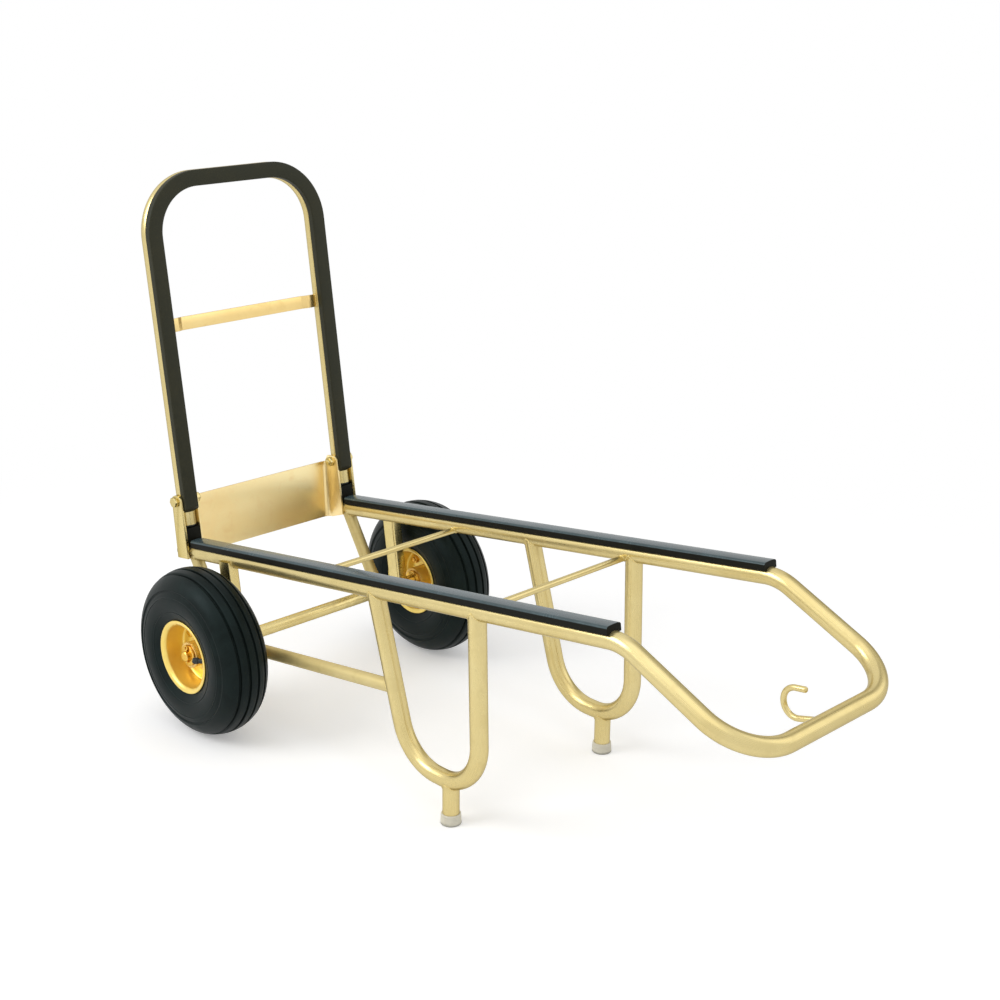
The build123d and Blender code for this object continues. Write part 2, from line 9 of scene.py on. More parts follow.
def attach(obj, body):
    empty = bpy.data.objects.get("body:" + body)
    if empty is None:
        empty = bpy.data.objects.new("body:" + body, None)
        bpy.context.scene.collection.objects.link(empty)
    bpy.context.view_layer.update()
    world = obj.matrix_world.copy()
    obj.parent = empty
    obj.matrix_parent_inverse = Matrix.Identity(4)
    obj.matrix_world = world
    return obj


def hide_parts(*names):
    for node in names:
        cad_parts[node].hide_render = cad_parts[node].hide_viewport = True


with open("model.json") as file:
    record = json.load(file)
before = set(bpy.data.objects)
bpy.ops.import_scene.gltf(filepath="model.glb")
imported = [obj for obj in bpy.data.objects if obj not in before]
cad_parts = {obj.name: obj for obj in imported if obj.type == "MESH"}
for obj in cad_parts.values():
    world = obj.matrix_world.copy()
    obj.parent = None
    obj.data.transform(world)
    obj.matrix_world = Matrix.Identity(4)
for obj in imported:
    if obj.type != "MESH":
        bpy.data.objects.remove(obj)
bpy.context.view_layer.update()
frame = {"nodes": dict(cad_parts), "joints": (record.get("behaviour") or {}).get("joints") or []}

# Sizes are in millimetres, as on the maker's drawing; places in the scene are in metres.
mm = 0.001

# Bed and handle
bed_tilt = radians(8.1)
rail_offset = 155.5
tube_radius = 12.7
frame_bend = 76.0
rail_rear = -20.0
handle_bend_along = 905.0
handle_end_along = 1085.0
handle_drop = 114.0
rod_radius = 4.75
rod_above = -6.5
rod_stop = 9.0
rear_rod_along = 283.0
front_rod_along = 638.0
hook_radius = 4.0
hook_root = (1075.0, -115.3)
hook_back = 1019.5
hook_low = -122.5
hook_high = -80.5
hook_tip = 1055.0
hook_bend = 19.0
hook_end_round = 2.4

# Legs and feet
leg_rear_along = 447.6
leg_front_along = 652.6
leg_rear_corner = 513.0
leg_front_corner = 654.0
leg_bottom = 63.5
leg_rear_bend = 76.0
leg_front_bend = 70.0
foot_forward = 597.0
foot_stub_radius = 12.0
foot_stub_heights = (61.5, 6.0)
foot_tip_height = 16.0
foot_top_radius = 14.0
foot_base_radius = 14.8
foot_edge_round = 1.2
foot_sole = [(0.0, 1.5), (3.4, 1.5), (3.8, 0.0), (8.9, 0.0), (9.2, 1.4), (10.3, 1.4), (10.6, 0.0)]
foot_socket_radius = 12.1
foot_socket_floor = 10.0
foot_ring_heights = (4.5, 8.0, 11.5)
foot_ring_width = 1.2
foot_ring_floor = (0.3, 0.9)
foot_ring_depth = 0.35

# Axle, trusses and struts
axle_along = 110.3
sleeve_radius = 9.5
truss_radius = 10.0
truss_start_along = 6.6
truss_bend_along = 67.2
truss_end_along = 467.8
truss_above = -139.0
truss_bend = 60.0
strut_length = 25.4
strut_width = 19.0
strut_offset = 165.0
strut_roll = 3.0
strut_top = -0.4

# Nose and its hinge
nose_height = 571.5
nose_bend = 84.0
post_end = 43.5
pivot_above = 82.5
ear_front = 13.0
ear_rear = -15.0
flat_end = pivot_above + ear_front + 2.0
flat_fade = 1.0
ring_slack = 0.1
running_gap = 0.35
crossbar_above = 353.5
crossbar_height = 20.5
crossbar_thickness = 4.0

# Rubber strips
strip_crown = 0.5
strip_lip_round = 0.5
# Faces turned at least this far to the worn side take the top finish, whose lighter colour is a painted
# sheen.
rubbed_sheen_slope = 0.35
rail_strip_half_width = 13.0
rail_strip_lip = 9.0
rail_strip_top = 21.0
rail_strip_roll = 4.0
rail_strip_start = 18.0
rail_strip_end = 892.0
nose_strip_half_width = 12.3
nose_strip_lip = 7.0
nose_strip_front = 18.7
nose_strip_roll = 2.5
nose_strip_end = 64.5
nose_strip_bevel = 8.0

# Wheels: points are (outward from the wheel's middle plane, out from its axle).
wheel_radius = 130.0
tread_round = 54.0
tread_half_width = 24.0
crown_offsets = (0.0, 3.0)
groove_offsets = (7.5, 22.0)
groove_width = 4.0
groove_depth = 3.5
groove_edge = 0.5
groove_floor = ((0.3, 0.4), (0.8, 0.0))
shoulder_middle = (33.5, 116.6)
shoulder_edge = (40.2, 106.0)
shoulder_ring = [(40.6, 105.2), (40.5, 104.4), (39.4, 103.2), (39.4, 102.0), (40.4, 100.4)]
sidewall_top = (39.7, 104.0)
sidewall_middle = (43.3, 88.0)
sidewall_foot = (36.9, 59.2)
sidewall_ridge = ((0.0, 0.9), (0.35, 0.5), (0.35, -0.5), (0.0, -0.9))
bead_face = 35.7
bead_top = 57.2
bead_radius = 51.0
bead_heel = 5.5
bead_toe = 25.0
liner_middle = (36.2, 88.0)
liner_shoulder = (27.0, 114.0)
liner_crown = [(14.0, 119.6), (0.0, 121.5)]
bead_seat = 50.6
rim_sheet = 2.2
rim_gap = 0.1
bolt_land = ((0.0, 27.0), (0.8, 28.2), (0.8, 39.6), (0.0, 40.8))
lip_face = 38.2
lip_radius = 57.3
lip_bend = 7.0
dish_bend = 4.0
hub_radius = 20.0
valve_angle = radians(3.0)
valve_root = (17.0, bead_seat)
valve_tip = (34.0, 22.5)
valve_radius = 3.9
valve_collar = [(5.6, 2.6), (5.6, 4.6), (4.5, 6.2)]
valve_collar_end = 8.0
cap_radius = 4.6
cap_length = 9.0
cap_rib_count = 18
cap_rib_radius = 0.35
cap_rib_share = 0.7
cap_rib_back = 0.55

# Welds
weld_radius = 1.1
weld_pitch = 1.4
weld_unevenness = 0.12
weld_seed = 4
weld_seam_steps = 40
ear_weld_inset = 11.4
ear_weld_above = -7.6
ear_weld_margin = 2.0
tab_weld_sink = 0.2
tab_weld_gap = 0.3

# Copies of CAD nodes: joined within a distance in metres, flat and sharp by an angle in degrees
joined_within = 1e-6
flat_within = 0.6
sharp_from = 40

# Stage in metres, degrees and watts, and the camera in the photograph's pixels
floor_reach = 40.0
floor_lift = 0.28
paper_fade = (0.75, 1.7)
sky_level = 0.6
card_reach = 4.0
card_heights = (0.15, 7.5)
card_turns = (74, 32)
card_level = 0.52
softboxes = (
    ("key_softbox", (-1.5, -2.7, 2.5), (-0.1, 0, 0.35), 1.8, 50.0),
    ("back_softbox", (1.8, 2.6, 2.3), (0, 0, 0.3), 2.6, 12.0),
    ("top_softbox", (0.6, -0.75, 3.2), (0.1, 0, 0.2), 2.6, 12.0),
)
camera_spot = (1.58369, -1.55655, 1.16578)
camera_yaw = radians(45.03)
camera_pitch = radians(18.67)
camera_roll = radians(-0.65)
picture_pixels = 1000
focal_pixels = 1671.46
picture_centre = (500.21, 497.67)
sensor_width = 36.0

sides = (("left", -1), ("right", 1))
joints = {joint["name"]: joint for joint in frame["joints"]}
pivot = Vector(joints["nose_fold"]["pos_m"])
wheel_middles = {side: Vector(joints[f"{name}_wheel_spin"]["pos_m"]) for name, side in sides}
along_bed = Vector((cos(bed_tilt), 0, sin(bed_tilt)))
off_bed = Vector((-sin(bed_tilt), 0, cos(bed_tilt)))
across_bed = Vector((0, 1, 0))
up = Vector((0, 0, 1))


def on_bed(along, across, above):
    """Along the rails from the hinge corner, across the truck, and above the rail axis."""
    return pivot + (along_bed * along + across_bed * across + off_bed * (above - pivot_above)) * mm


hinge_corner = on_bed(0, 0, 0)
axle_above = (wheel_middles[-1] - hinge_corner).dot(off_bed) / mm


def over_floor(forward, across, height):
    """Level with the floor, forward of the hinge corner."""
    return Vector((hinge_corner.x + forward * mm, across * mm, height * mm))


def on_wheel(side, offset, radius, angle):
    """Outward from a wheel's middle plane, and out from its axle at an angle up from forwards."""
    return wheel_middles[side] + Vector((radius * cos(angle), side * offset, radius * sin(angle))) * mm


# Node helpers
def feed_socket(socket, feed):
    """Joins an input to another node's output, or sets its own value."""
    if isinstance(feed, bpy.types.NodeSocket):
        socket.id_data.links.new(feed, socket)
    else:
        socket.default_value = feed


def place(tree, kind, feeds=None, **settings):
    """Adds a node, sets it up, feeds its inputs by name or number, and gives its outputs."""
    made = tree.nodes.new(kind)
    for setting, value in settings.items():
        setattr(made, setting, value)
    for socket, feed in (feeds or {}).items():
        feed_socket(made.inputs[socket], feed)
    return made.outputs


def reckon(tree, operation, *terms):
    return place(tree, "ShaderNodeMath", dict(enumerate(terms)), operation=operation)[0]


def new_tree(name, kind, inputs, outputs):
    """An empty node group with named inputs and outputs, and the sockets of its two end nodes."""
    tree = bpy.data.node_groups.new(name, kind)
    for way, sockets in (("INPUT", inputs), ("OUTPUT", outputs)):
        for label, socket in sockets.items():
            tree.interface.new_socket(label, in_out=way, socket_type="NodeSocket" + socket)
    return tree, tree.nodes.new("NodeGroupInput").outputs, tree.nodes.new("NodeGroupOutput").inputs


def geometry_tree(name, inputs):
    shape = {"Geometry": "Geometry"}
    return new_tree(name, "GeometryNodeTree", shape | inputs, shape)


def end_tree(tree, geometry, result, *finishes):
    """Every geometry tree ends in real geometry, with each finish on the faces that it is for."""
    shape = place(tree, "GeometryNodeSetShadeSmooth", {"Geometry": geometry})[0]
    shape = place(tree, "GeometryNodeRealizeInstances", {"Geometry": shape})[0]
    for finish, faces in finishes:
        feeds = {"Geometry": shape, "Selection": faces, "Material": finish}
        shape = place(tree, "GeometryNodeSetMaterial", feeds)[0]
    feed_socket(result["Geometry"], shape)


def store(tree, geometry, name, value, kind):
    feeds = {"Geometry": geometry, "Name": name, "Value": value}
    return place(tree, "GeometryNodeStoreNamedAttribute", feeds, data_type=kind, domain="POINT")[0]


def stored(tree, name, kind):
    return place(tree, "GeometryNodeInputNamedAttribute", {"Name": name}, data_type=kind)[0]


def bent_path(tree, given):
    """Corner points joined by straight runs, with each corner rounded to its own bend radius."""
    corners = place(tree, "GeometryNodeMeshToCurve", {"Mesh": given["Geometry"]})[0]
    feeds = {"Curve": corners, "Count": given["Bend Steps"], "Radius": stored(tree, "bend", "FLOAT")}
    rounded = place(tree, "GeometryNodeFilletCurve", feeds, mode="POLY")[0]
    length = place(tree, "GeometryNodeSplineParameter")["Length"]
    return store(tree, rounded, "run", length, "FLOAT")


def section_along(tree, path, section):
    feeds = {"Curve": path, "Profile Curve": section, "Fill Caps": True}
    return place(tree, "GeometryNodeCurveToMesh", feeds)[0]


def bent_tube_tree():
    """A round tube along bent corners. Its surface keeps its lay: round the tube, and along it."""
    inputs = {"Radius": "Float", "Sides": "Int", "Bend Steps": "Int", "Finish": "Material"}
    tree, given, result = geometry_tree("bent_tube", inputs)
    feeds = {"Resolution": given["Sides"], "Radius": given["Radius"]}
    circle = place(tree, "GeometryNodeCurvePrimitiveCircle", feeds)["Curve"]
    around = place(tree, "GeometryNodeInputPosition")[0]
    marked = store(tree, circle, "around", around, "FLOAT_VECTOR")
    pipe = section_along(tree, bent_path(tree, given), marked)
    ring = place(tree, "ShaderNodeSeparateXYZ", {"Vector": stored(tree, "around", "FLOAT_VECTOR")})
    feeds = {"X": ring["X"], "Y": ring["Y"], "Z": stored(tree, "run", "FLOAT")}
    lay = place(tree, "ShaderNodeCombineXYZ", feeds)[0]
    laid = store(tree, pipe, "lay", lay, "FLOAT_VECTOR")
    end_tree(tree, laid, result, (given["Finish"], True))
    return tree


def extrusion_tree():
    """A drawn section along bent corners, its x axis held to one facing; faces turned to one side get a
    worn, glossier finish painted lighter as a sheen.
    """
    inputs = {"Section": "Object", "Facing": "Vector", "Bend Steps": "Int", "Finish": "Material"}
    inputs |= {"Rubbed Sheen Side": "Vector", "Rubbed Sheen Finish": "Material"}
    tree, given, result = geometry_tree("extrusion", inputs)
    feeds = {"Curve": bent_path(tree, given), "Normal": given["Facing"]}
    path = place(tree, "GeometryNodeSetCurveNormal", feeds, mode="FREE")[0]
    drawn = place(tree, "GeometryNodeObjectInfo", {"Object": given["Section"]})["Geometry"]
    section = place(tree, "GeometryNodeMeshToCurve", {"Mesh": drawn})[0]
    strip = section_along(tree, path, section)
    # Faces turned to the worn side get the second finish: worn glossier, and painted lighter and bluer as a
    # painted sheen.
    feeds = {0: place(tree, "GeometryNodeInputNormal")[0], 1: given["Rubbed Sheen Side"]}
    towards = place(tree, "ShaderNodeVectorMath", feeds, operation="DOT_PRODUCT")["Value"]
    wear_and_painted_light = reckon(tree, "GREATER_THAN", towards, rubbed_sheen_slope)
    end_tree(tree, strip, result, (given["Finish"], True), (given["Rubbed Sheen Finish"], wear_and_painted_light))
    return tree


def weld_tree():
    """A row of overlapping, slightly uneven ripples along a seam."""
    inputs = {"Bead Radius": "Float", "Pitch": "Float", "Unevenness": "Float", "Seed": "Int"}
    tree, given, result = geometry_tree("weld_ripples", inputs | {"Finish": "Material"})
    seam = place(tree, "GeometryNodeMeshToCurve", {"Mesh": given["Geometry"]})[0]
    feeds = {"Curve": seam, "Length": given["Pitch"]}
    spots = place(tree, "GeometryNodeCurveToPoints", feeds, mode="LENGTH")
    feeds = {"Segments": 10, "Rings": 7, "Radius": given["Bead Radius"]}
    ripple = place(tree, "GeometryNodeMeshUVSphere", feeds)["Mesh"]
    least = reckon(tree, "SUBTRACT", 1.0, given["Unevenness"])
    most = reckon(tree, "ADD", 1.0, given["Unevenness"])
    feeds = {2: least, 3: most, "Seed": given["Seed"]}
    size = place(tree, "FunctionNodeRandomValue", feeds, data_type="FLOAT")[1]
    feeds = {"Points": spots["Points"], "Instance": ripple, "Rotation": spots["Rotation"], "Scale": size}
    beads = place(tree, "GeometryNodeInstanceOnPoints", feeds)[0]
    end_tree(tree, beads, result, (given["Finish"], True))
    return tree


def rib_ring_tree():
    """Small upright ribs round a cap."""
    inputs = {"Rib Radius": "Float", "Rib Length": "Float", "Facing": "Vector", "Finish": "Material"}
    tree, given, result = geometry_tree("rib_ring", inputs)
    feeds = {"Vertices": 8, "Radius": given["Rib Radius"], "Depth": given["Rib Length"]}
    rib = place(tree, "GeometryNodeMeshCylinder", feeds)["Mesh"]
    upright = place(tree, "FunctionNodeAlignRotationToVector", {"Vector": given["Facing"]}, axis="Z")[0]
    feeds = {"Points": given["Geometry"], "Instance": rib, "Rotation": upright}
    ribs = place(tree, "GeometryNodeInstanceOnPoints", feeds)[0]
    end_tree(tree, ribs, result, (given["Finish"], True))
    return tree


# Mesh helpers
def line_mesh(name, lines, bends=None, closed=False):
    """Bare lines through points, with a bend radius at each point where there are any."""
    points, edges = [], []
    for line in lines:
        first = len(points)
        points.extend(line)
        edges.extend((k, k + 1) for k in range(first, len(points) - 1))
        if closed:
            edges.append((len(points) - 1, first))
    mesh = bpy.data.meshes.new(name)
    mesh.from_pydata(points, edges, [])
    if bends:
        radii = [bend * mm for bend in bends]
        mesh.attributes.new("bend", "FLOAT", "POINT").data.foreach_set("value", radii)
    return mesh


def add_object(name, content):
    made = bpy.data.objects.new(name, content)
    bpy.context.scene.collection.objects.link(made)
    return made


def grow(name, lines, tree, sizes):
    """Runs a geometry tree on bare lines and keeps the result as a plain mesh."""
    piece = add_object(name, lines)
    growth = piece.modifiers.new("growth", "NODES")
    growth.node_group = tree
    for socket in tree.interface.items_tree:
        if socket.in_out == "INPUT" and socket.name in sizes:
            growth[socket.identifier] = sizes[socket.name]
    graph = bpy.context.evaluated_depsgraph_get()
    grown = bpy.data.meshes.new_from_object(piece.evaluated_get(graph), depsgraph=graph)
    piece.modifiers.clear()
    piece.data = grown
    bpy.data.meshes.remove(lines)
    grown.name = name
    return piece


def settle(piece, body, slot, *nodes, angle=35):
    """Shades a piece smooth up to an angle, and puts it on its body in the place of its CAD nodes."""
    piece.data.shade_smooth()
    piece.data.set_sharp_from_angle(angle=radians(angle))
    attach(piece, body)
    if nodes:
        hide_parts(*nodes)


def piece_from(name, made, finish):
    """Ends the work on a bmesh: a new piece with one finish."""
    mesh = bpy.data.meshes.new(name)
    made.to_mesh(mesh)
    made.free()
    mesh.materials.append(finish)
    return add_object(name, mesh)


def turned(name, section, side, finish, steps):
    """A closed section of (outward offset, radius) points turned about a wheel's axle."""
    made = bmesh.new()
    rings = []
    for step in range(steps):
        angle = tau * step / steps
        rings.append([made.verts.new(on_wheel(side, *spot, angle)) for spot in section])
    count = len(section)
    for step, ring in enumerate(rings):
        following = rings[(step + 1) % steps]
        for k in range(count):
            after = (k + 1) % count
            made.faces.new((ring[k], ring[after], following[after], following[k]))
    bmesh.ops.recalc_face_normals(made, faces=made.faces)
    return piece_from(name, made, finish)


def ring_round(centre, axis, radius, steps):
    """Points on a circle round an axis."""
    first = axis.orthogonal().normalized()
    second = axis.cross(first)
    turns = [tau * step / steps for step in range(steps)]
    return [centre + (first * cos(t) + second * sin(t)) * radius * mm for t in turns]


def spun(name, section, foot, axis, finish, steps):
    """A section of (radius, height) points, from axis to axis, spun about an axis that starts at a foot."""
    made = bmesh.new()
    rings = []
    for radius, height in section:
        centre = foot + axis * height * mm
        points = ring_round(centre, axis, radius, steps) if radius else [centre]
        rings.append([made.verts.new(point) for point in points])
    for low, high in zip(rings, rings[1:]):
        for step in range(steps):
            after = (step + 1) % steps
            corners = [low[step % len(low)], low[after % len(low)]]
            corners += [high[after % len(high)], high[step % len(high)]]
            made.faces.new(list(dict.fromkeys(corners)))
    bmesh.ops.recalc_face_normals(made, faces=made.faces)
    return piece_from(name, made, finish)


def arc(centre, radius, start, end, steps):
    """Points on a circular arc, angles in degrees."""
    turns = [radians(start + (end - start) * k / steps) for k in range(steps + 1)]
    return [(centre[0] + radius * cos(t), centre[1] + radius * sin(t)) for t in turns]


def arc_through(first, middle, last, steps):
    """Points on the circle through three points, from the first to the last."""
    (ax, ay), (bx, by), (cx, cy) = first, middle, last
    twice_area = 2 * (ax * (by - cy) + bx * (cy - ay) + cx * (ay - by))
    a, b, c = ax * ax + ay * ay, bx * bx + by * by, cx * cx + cy * cy
    centre_x = (a * (by - cy) + b * (cy - ay) + c * (ay - by)) / twice_area
    centre_y = (a * (cx - bx) + b * (ax - cx) + c * (bx - ax)) / twice_area
    centre = Vector((centre_x, centre_y))
    start, end = Vector(first) - centre, Vector(last) - centre
    turn = start.angle_signed(end)
    points = []
    for k in range(steps + 1):
        spoke = start.copy()
        spoke.rotate(Matrix.Rotation(-turn * k / steps, 2))
        points.append(tuple(centre + spoke))
    return points


def sharp_edges(made, angle):
    return [e for e in made.edges if len(e.link_faces) == 2 and e.calc_face_angle() > radians(angle)]


def round_edges(made, edges, size, steps):
    bmesh.ops.bevel(
        made, geom=edges, offset=size * mm, segments=steps, profile=0.5, affect="EDGES", clamp_overlap=True
    )


def eased(name, node, finish, edge):
    """A copy of a CAD node with its triangles joined and its sharp edges eased."""
    made = bmesh.new()
    made.from_mesh(frame["nodes"][node].data)
    bmesh.ops.remove_doubles(made, verts=made.verts, dist=joined_within)
    flat = radians(flat_within)
    bmesh.ops.dissolve_limit(
        made, angle_limit=flat, use_dissolve_boundaries=False, verts=made.verts, edges=made.edges
    )
    round_edges(made, sharp_edges(made, sharp_from), edge, steps=2)
    for face in made.faces:
        face.material_index = 0
    return piece_from(name, made, finish)


def dress(name, node, finish, edge, body, slot, angle=35):
    """Puts an eased copy of a CAD node in that node's place."""
    settle(eased(name, node, finish, edge), body, slot, node, angle=angle)


def saddle(root, direction, radius, host, host_axis):
    """The closed seam where a round tube, leaving a host tube in a direction, meets the host's surface."""
    climb = direction - host_axis * direction.dot(host_axis)
    seam = []
    for start in ring_round(root, direction, radius, weld_seam_steps):
        away = (start - host) - host_axis * (start - host).dot(host_axis)
        lean = away.dot(climb)
        reach = lean * lean - climb.length_squared * (away.length_squared - (tube_radius * mm) ** 2)
        seam.append(start + direction * ((-lean + sqrt(max(reach, 0))) / climb.length_squared))
    return seam


# Shader helpers
def linear(red, green, blue):
    """A colour as seen on screen, 0 to 255, in linear light."""
    shares = [c / 255 for c in (red, green, blue)]
    return tuple(s / 12.92 if s <= 0.04045 else ((s + 0.055) / 1.055) ** 2.4 for s in shares) + (1.0,)


def shader_tree(name, inputs, output):
    return new_tree(name, "ShaderNodeTree", {"Vector": "Vector"} | inputs, {output: "Float"})


def streaks_group():
    """Polishing lines: noise drawn out along one direction."""
    tree, given, result = shader_tree(
        "polishing_streaks", {"Fineness": "Vector", "Detail": "Float"}, "Streaks"
    )
    feeds = {0: given["Vector"], 1: given["Fineness"]}
    drawn = place(tree, "ShaderNodeVectorMath", feeds, operation="MULTIPLY")[0]
    feeds = {"Vector": drawn, "Scale": 1.0, "Detail": given["Detail"], "Roughness": 0.6}
    feed_socket(result["Streaks"], place(tree, "ShaderNodeTexNoise", feeds)[0])
    return tree


def handling_group():
    """Soft patches where hands, cloths and time have dulled a finish."""
    inputs = {"Scale": "Float", "Start": "Float", "End": "Float"}
    tree, given, result = shader_tree("handling_patches", inputs, "Mask")
    feeds = {"Vector": given["Vector"], "Scale": given["Scale"]}
    feeds |= {"Detail": 5.0, "Roughness": 0.62, "Distortion": 0.6}
    noise = place(tree, "ShaderNodeTexNoise", feeds)[0]
    feeds = {"Value": noise, "From Min": given["Start"], "From Max": given["End"]}
    feed_socket(result["Mask"], place(tree, "ShaderNodeMapRange", feeds)[0])
    return tree


def grain_group():
    """Fine moulded grain for rubber and plastic."""
    inputs = {"Scale": "Float", "Coarse Share": "Float"}
    tree, given, result = shader_tree("moulded_grain", inputs, "Height")
    feeds = {"Vector": given["Vector"], "Scale": given["Scale"]}
    cells = place(tree, "ShaderNodeTexVoronoi", feeds)["Distance"]
    fine = place(tree, "ShaderNodeTexNoise", feeds | {"Detail": 3.0})[0]
    feeds = {0: given["Coarse Share"], 2: fine, 3: cells}
    feed_socket(result["Height"], place(tree, "ShaderNodeMix", feeds, data_type="FLOAT")[0])
    return tree


polishing_streaks = streaks_group()
handling_patches = handling_group()
moulded_grain = grain_group()


def use_group(tree, group, feeds):
    return place(tree, "ShaderNodeGroup", feeds, node_tree=group)[0]


def streaks_at(tree, spot, fineness, detail):
    return use_group(tree, polishing_streaks, {"Vector": spot, "Fineness": fineness, "Detail": detail})


def patches_at(tree, spot, scale, start, end):
    return use_group(tree, handling_patches, {"Vector": spot, "Scale": scale, "Start": start, "End": end})


def grain_at(tree, spot, scale, coarse):
    return use_group(tree, moulded_grain, {"Vector": spot, "Scale": scale, "Coarse Share": coarse})


def shade_between(tree, amount, first, second):
    return place(tree, "ShaderNodeMix", {0: amount, 6: first, 7: second}, data_type="RGBA")[2]


def value_between(tree, amount, low, high):
    return place(tree, "ShaderNodeMapRange", {"Value": amount, "To Min": low, "To Max": high})[0]


def bumped(tree, height, distance, **under):
    """Bump, with the distance in millimetres, over another normal where one is given."""
    return place(tree, "ShaderNodeBump", {"Height": height, "Distance": distance * mm} | under)[0]


def object_place(tree):
    return place(tree, "ShaderNodeTexCoord")["Object"]


def new_finish(name):
    finish = bpy.data.materials.new(name)
    finish.use_nodes = True
    return finish, finish.node_tree, finish.node_tree.nodes["Principled BSDF"].inputs


def set_inputs(shader, **feeds):
    """Joins or sets the shader's own sockets; an underscore in a name is a space."""
    for name, feed in feeds.items():
        feed_socket(shader[name.replace("_", " ")], feed)


# Finishes
def brass(
    name, pale, deep, dull, lay=None, fineness=(900, 900, 14), roughness=(0.2, 0.34), lacquer=0.0, metal=1.0
):
    """Brass plate: polishing lines, a drift of colour, dulled patches, and an olive edge at a low angle."""
    finish, tree, shader = new_finish(name)
    spot = object_place(tree)
    line = place(tree, "ShaderNodeAttribute", attribute_name=lay)["Vector"] if lay else spot
    streaks = streaks_at(tree, line, fineness, detail=4.0)
    drift = patches_at(tree, spot, scale=6.0, start=0.35, end=0.7)
    touched = patches_at(tree, spot, scale=38.0, start=0.52, end=0.74)
    colour = shade_between(tree, drift, pale, deep)
    colour = shade_between(tree, value_between(tree, streaks, 0.0, 0.35), colour, deep)
    colour = shade_between(tree, value_between(tree, touched, 0.0, 0.4), colour, dull)
    rough = reckon(tree, "MULTIPLY_ADD", touched, 0.09, value_between(tree, streaks, *roughness))
    set_inputs(shader, Base_Color=colour, Roughness=rough, Normal=bumped(tree, streaks, 0.02))
    set_inputs(shader, Metallic=metal, Specular_Tint=(0.4, 0.37, 0.28, 1))
    set_inputs(shader, Coat_Weight=lacquer, Coat_Roughness=0.12)
    return finish


def painted_gold():
    """Gold paint on the pressed rims: fine flake, and orange peel under the gloss."""
    finish, tree, shader = new_finish("painted_gold")
    spot = object_place(tree)
    flake = place(tree, "ShaderNodeTexVoronoi", {"Vector": spot, "Scale": 2600.0})["Color"]
    flake_share = place(tree, "ShaderNodeSeparateXYZ", {"Vector": flake})["X"]
    drift = patches_at(tree, spot, scale=22.0, start=0.4, end=0.75)
    colour = shade_between(tree, drift, linear(246, 216, 112), linear(238, 202, 86))
    colour = shade_between(tree, value_between(tree, flake_share, 0.0, 0.3), colour, linear(253, 232, 150))
    rough = value_between(tree, flake_share, 0.28, 0.42)
    peel = grain_at(tree, spot, scale=420.0, coarse=0.2)
    set_inputs(shader, Base_Color=colour, Roughness=rough, Normal=bumped(tree, peel, 0.05))
    set_inputs(shader, Metallic=0.75, Coat_Weight=0.3, Coat_Roughness=0.12)
    return finish


def yellow_zinc():
    """Zinc plate with the gold tint of its passivation."""
    finish, tree, shader = new_finish("yellow_zinc")
    spot = object_place(tree)
    patches = patches_at(tree, spot, scale=160.0, start=0.35, end=0.7)
    streaks = streaks_at(tree, spot, (1500, 60, 1500), detail=3.0)
    colour = shade_between(tree, patches, linear(236, 200, 122), linear(210, 170, 96))
    rough = value_between(tree, streaks, 0.22, 0.44)
    set_inputs(shader, Base_Color=colour, Roughness=rough, Normal=bumped(tree, streaks, 0.02))
    set_inputs(shader, Metallic=1.0)
    return finish


def rubber(
    name, dark, bloom, roughness, grain, bloom_scale=30.0, fineness=None, gloss=0.5, tint=(0.86, 1.0, 1.0, 1)
):
    """Rubber or plastic with a moulded grain of (scale, depth) and a dusty bloom in patches."""
    finish, tree, shader = new_finish(name)
    spot = object_place(tree)
    patches = patches_at(tree, spot, bloom_scale, start=0.4, end=0.78)
    grain_scale, grain_depth = grain
    normal = bumped(tree, grain_at(tree, spot, grain_scale, coarse=0.45), grain_depth)
    if fineness:
        normal = bumped(tree, streaks_at(tree, spot, fineness, detail=2.0), 0.12, Normal=normal)
    colour = shade_between(tree, patches, dark, bloom)
    rough = value_between(tree, patches, *roughness)
    set_inputs(shader, Base_Color=colour, Roughness=rough, Normal=normal)
    set_inputs(shader, Specular_IOR_Level=gloss, Specular_Tint=tint)
    return finish


def pale_tip_rubber_dirt_and_shade():
    """Pale foot rubber, greyed towards its sole by floor dirt and a painted contact shadow."""
    shades = (linear(224, 219, 202), linear(210, 203, 184))
    finish = rubber("pale_tip_rubber", *shades, (0.45, 0.6), grain=(800.0, 0.08))
    tree = finish.node_tree
    shader = tree.nodes["Principled BSDF"].inputs
    clean = shader["Base Color"].links[0].from_socket
    spot = object_place(tree)
    height = place(tree, "ShaderNodeSeparateXYZ", {"Vector": spot})["Z"]
    # Patches that vary how high the dirt and the painted shadow reach.
    wear_and_painted_light = patches_at(tree, spot, scale=90.0, start=0.2, end=0.8)
    sole_band_low, sole_band_high = 2.5 * mm, 6.5 * mm
    reach = value_between(tree, wear_and_painted_light, sole_band_low, sole_band_high)
    feeds = {"Value": height, "From Max": reach, "To Min": 0.85, "To Max": 0.0}
    sole_dirt_and_painted_shade = place(tree, "ShaderNodeMapRange", feeds)[0]
    # Grey towards the sole: partly floor dirt, partly a painted contact shadow.
    set_inputs(shader, Base_Color=shade_between(tree, sole_dirt_and_painted_shade, clean, linear(112, 112, 104)))
    return finish


def seen_by_eye(tree):
    """1 for rays from the camera, also by way of polished or clear things."""
    ray = place(tree, "ShaderNodeLightPath")
    either = reckon(tree, "MAXIMUM", ray["Is Camera Ray"], ray["Is Glossy Ray"])
    return reckon(tree, "MAXIMUM", either, ray["Is Transmission Ray"])


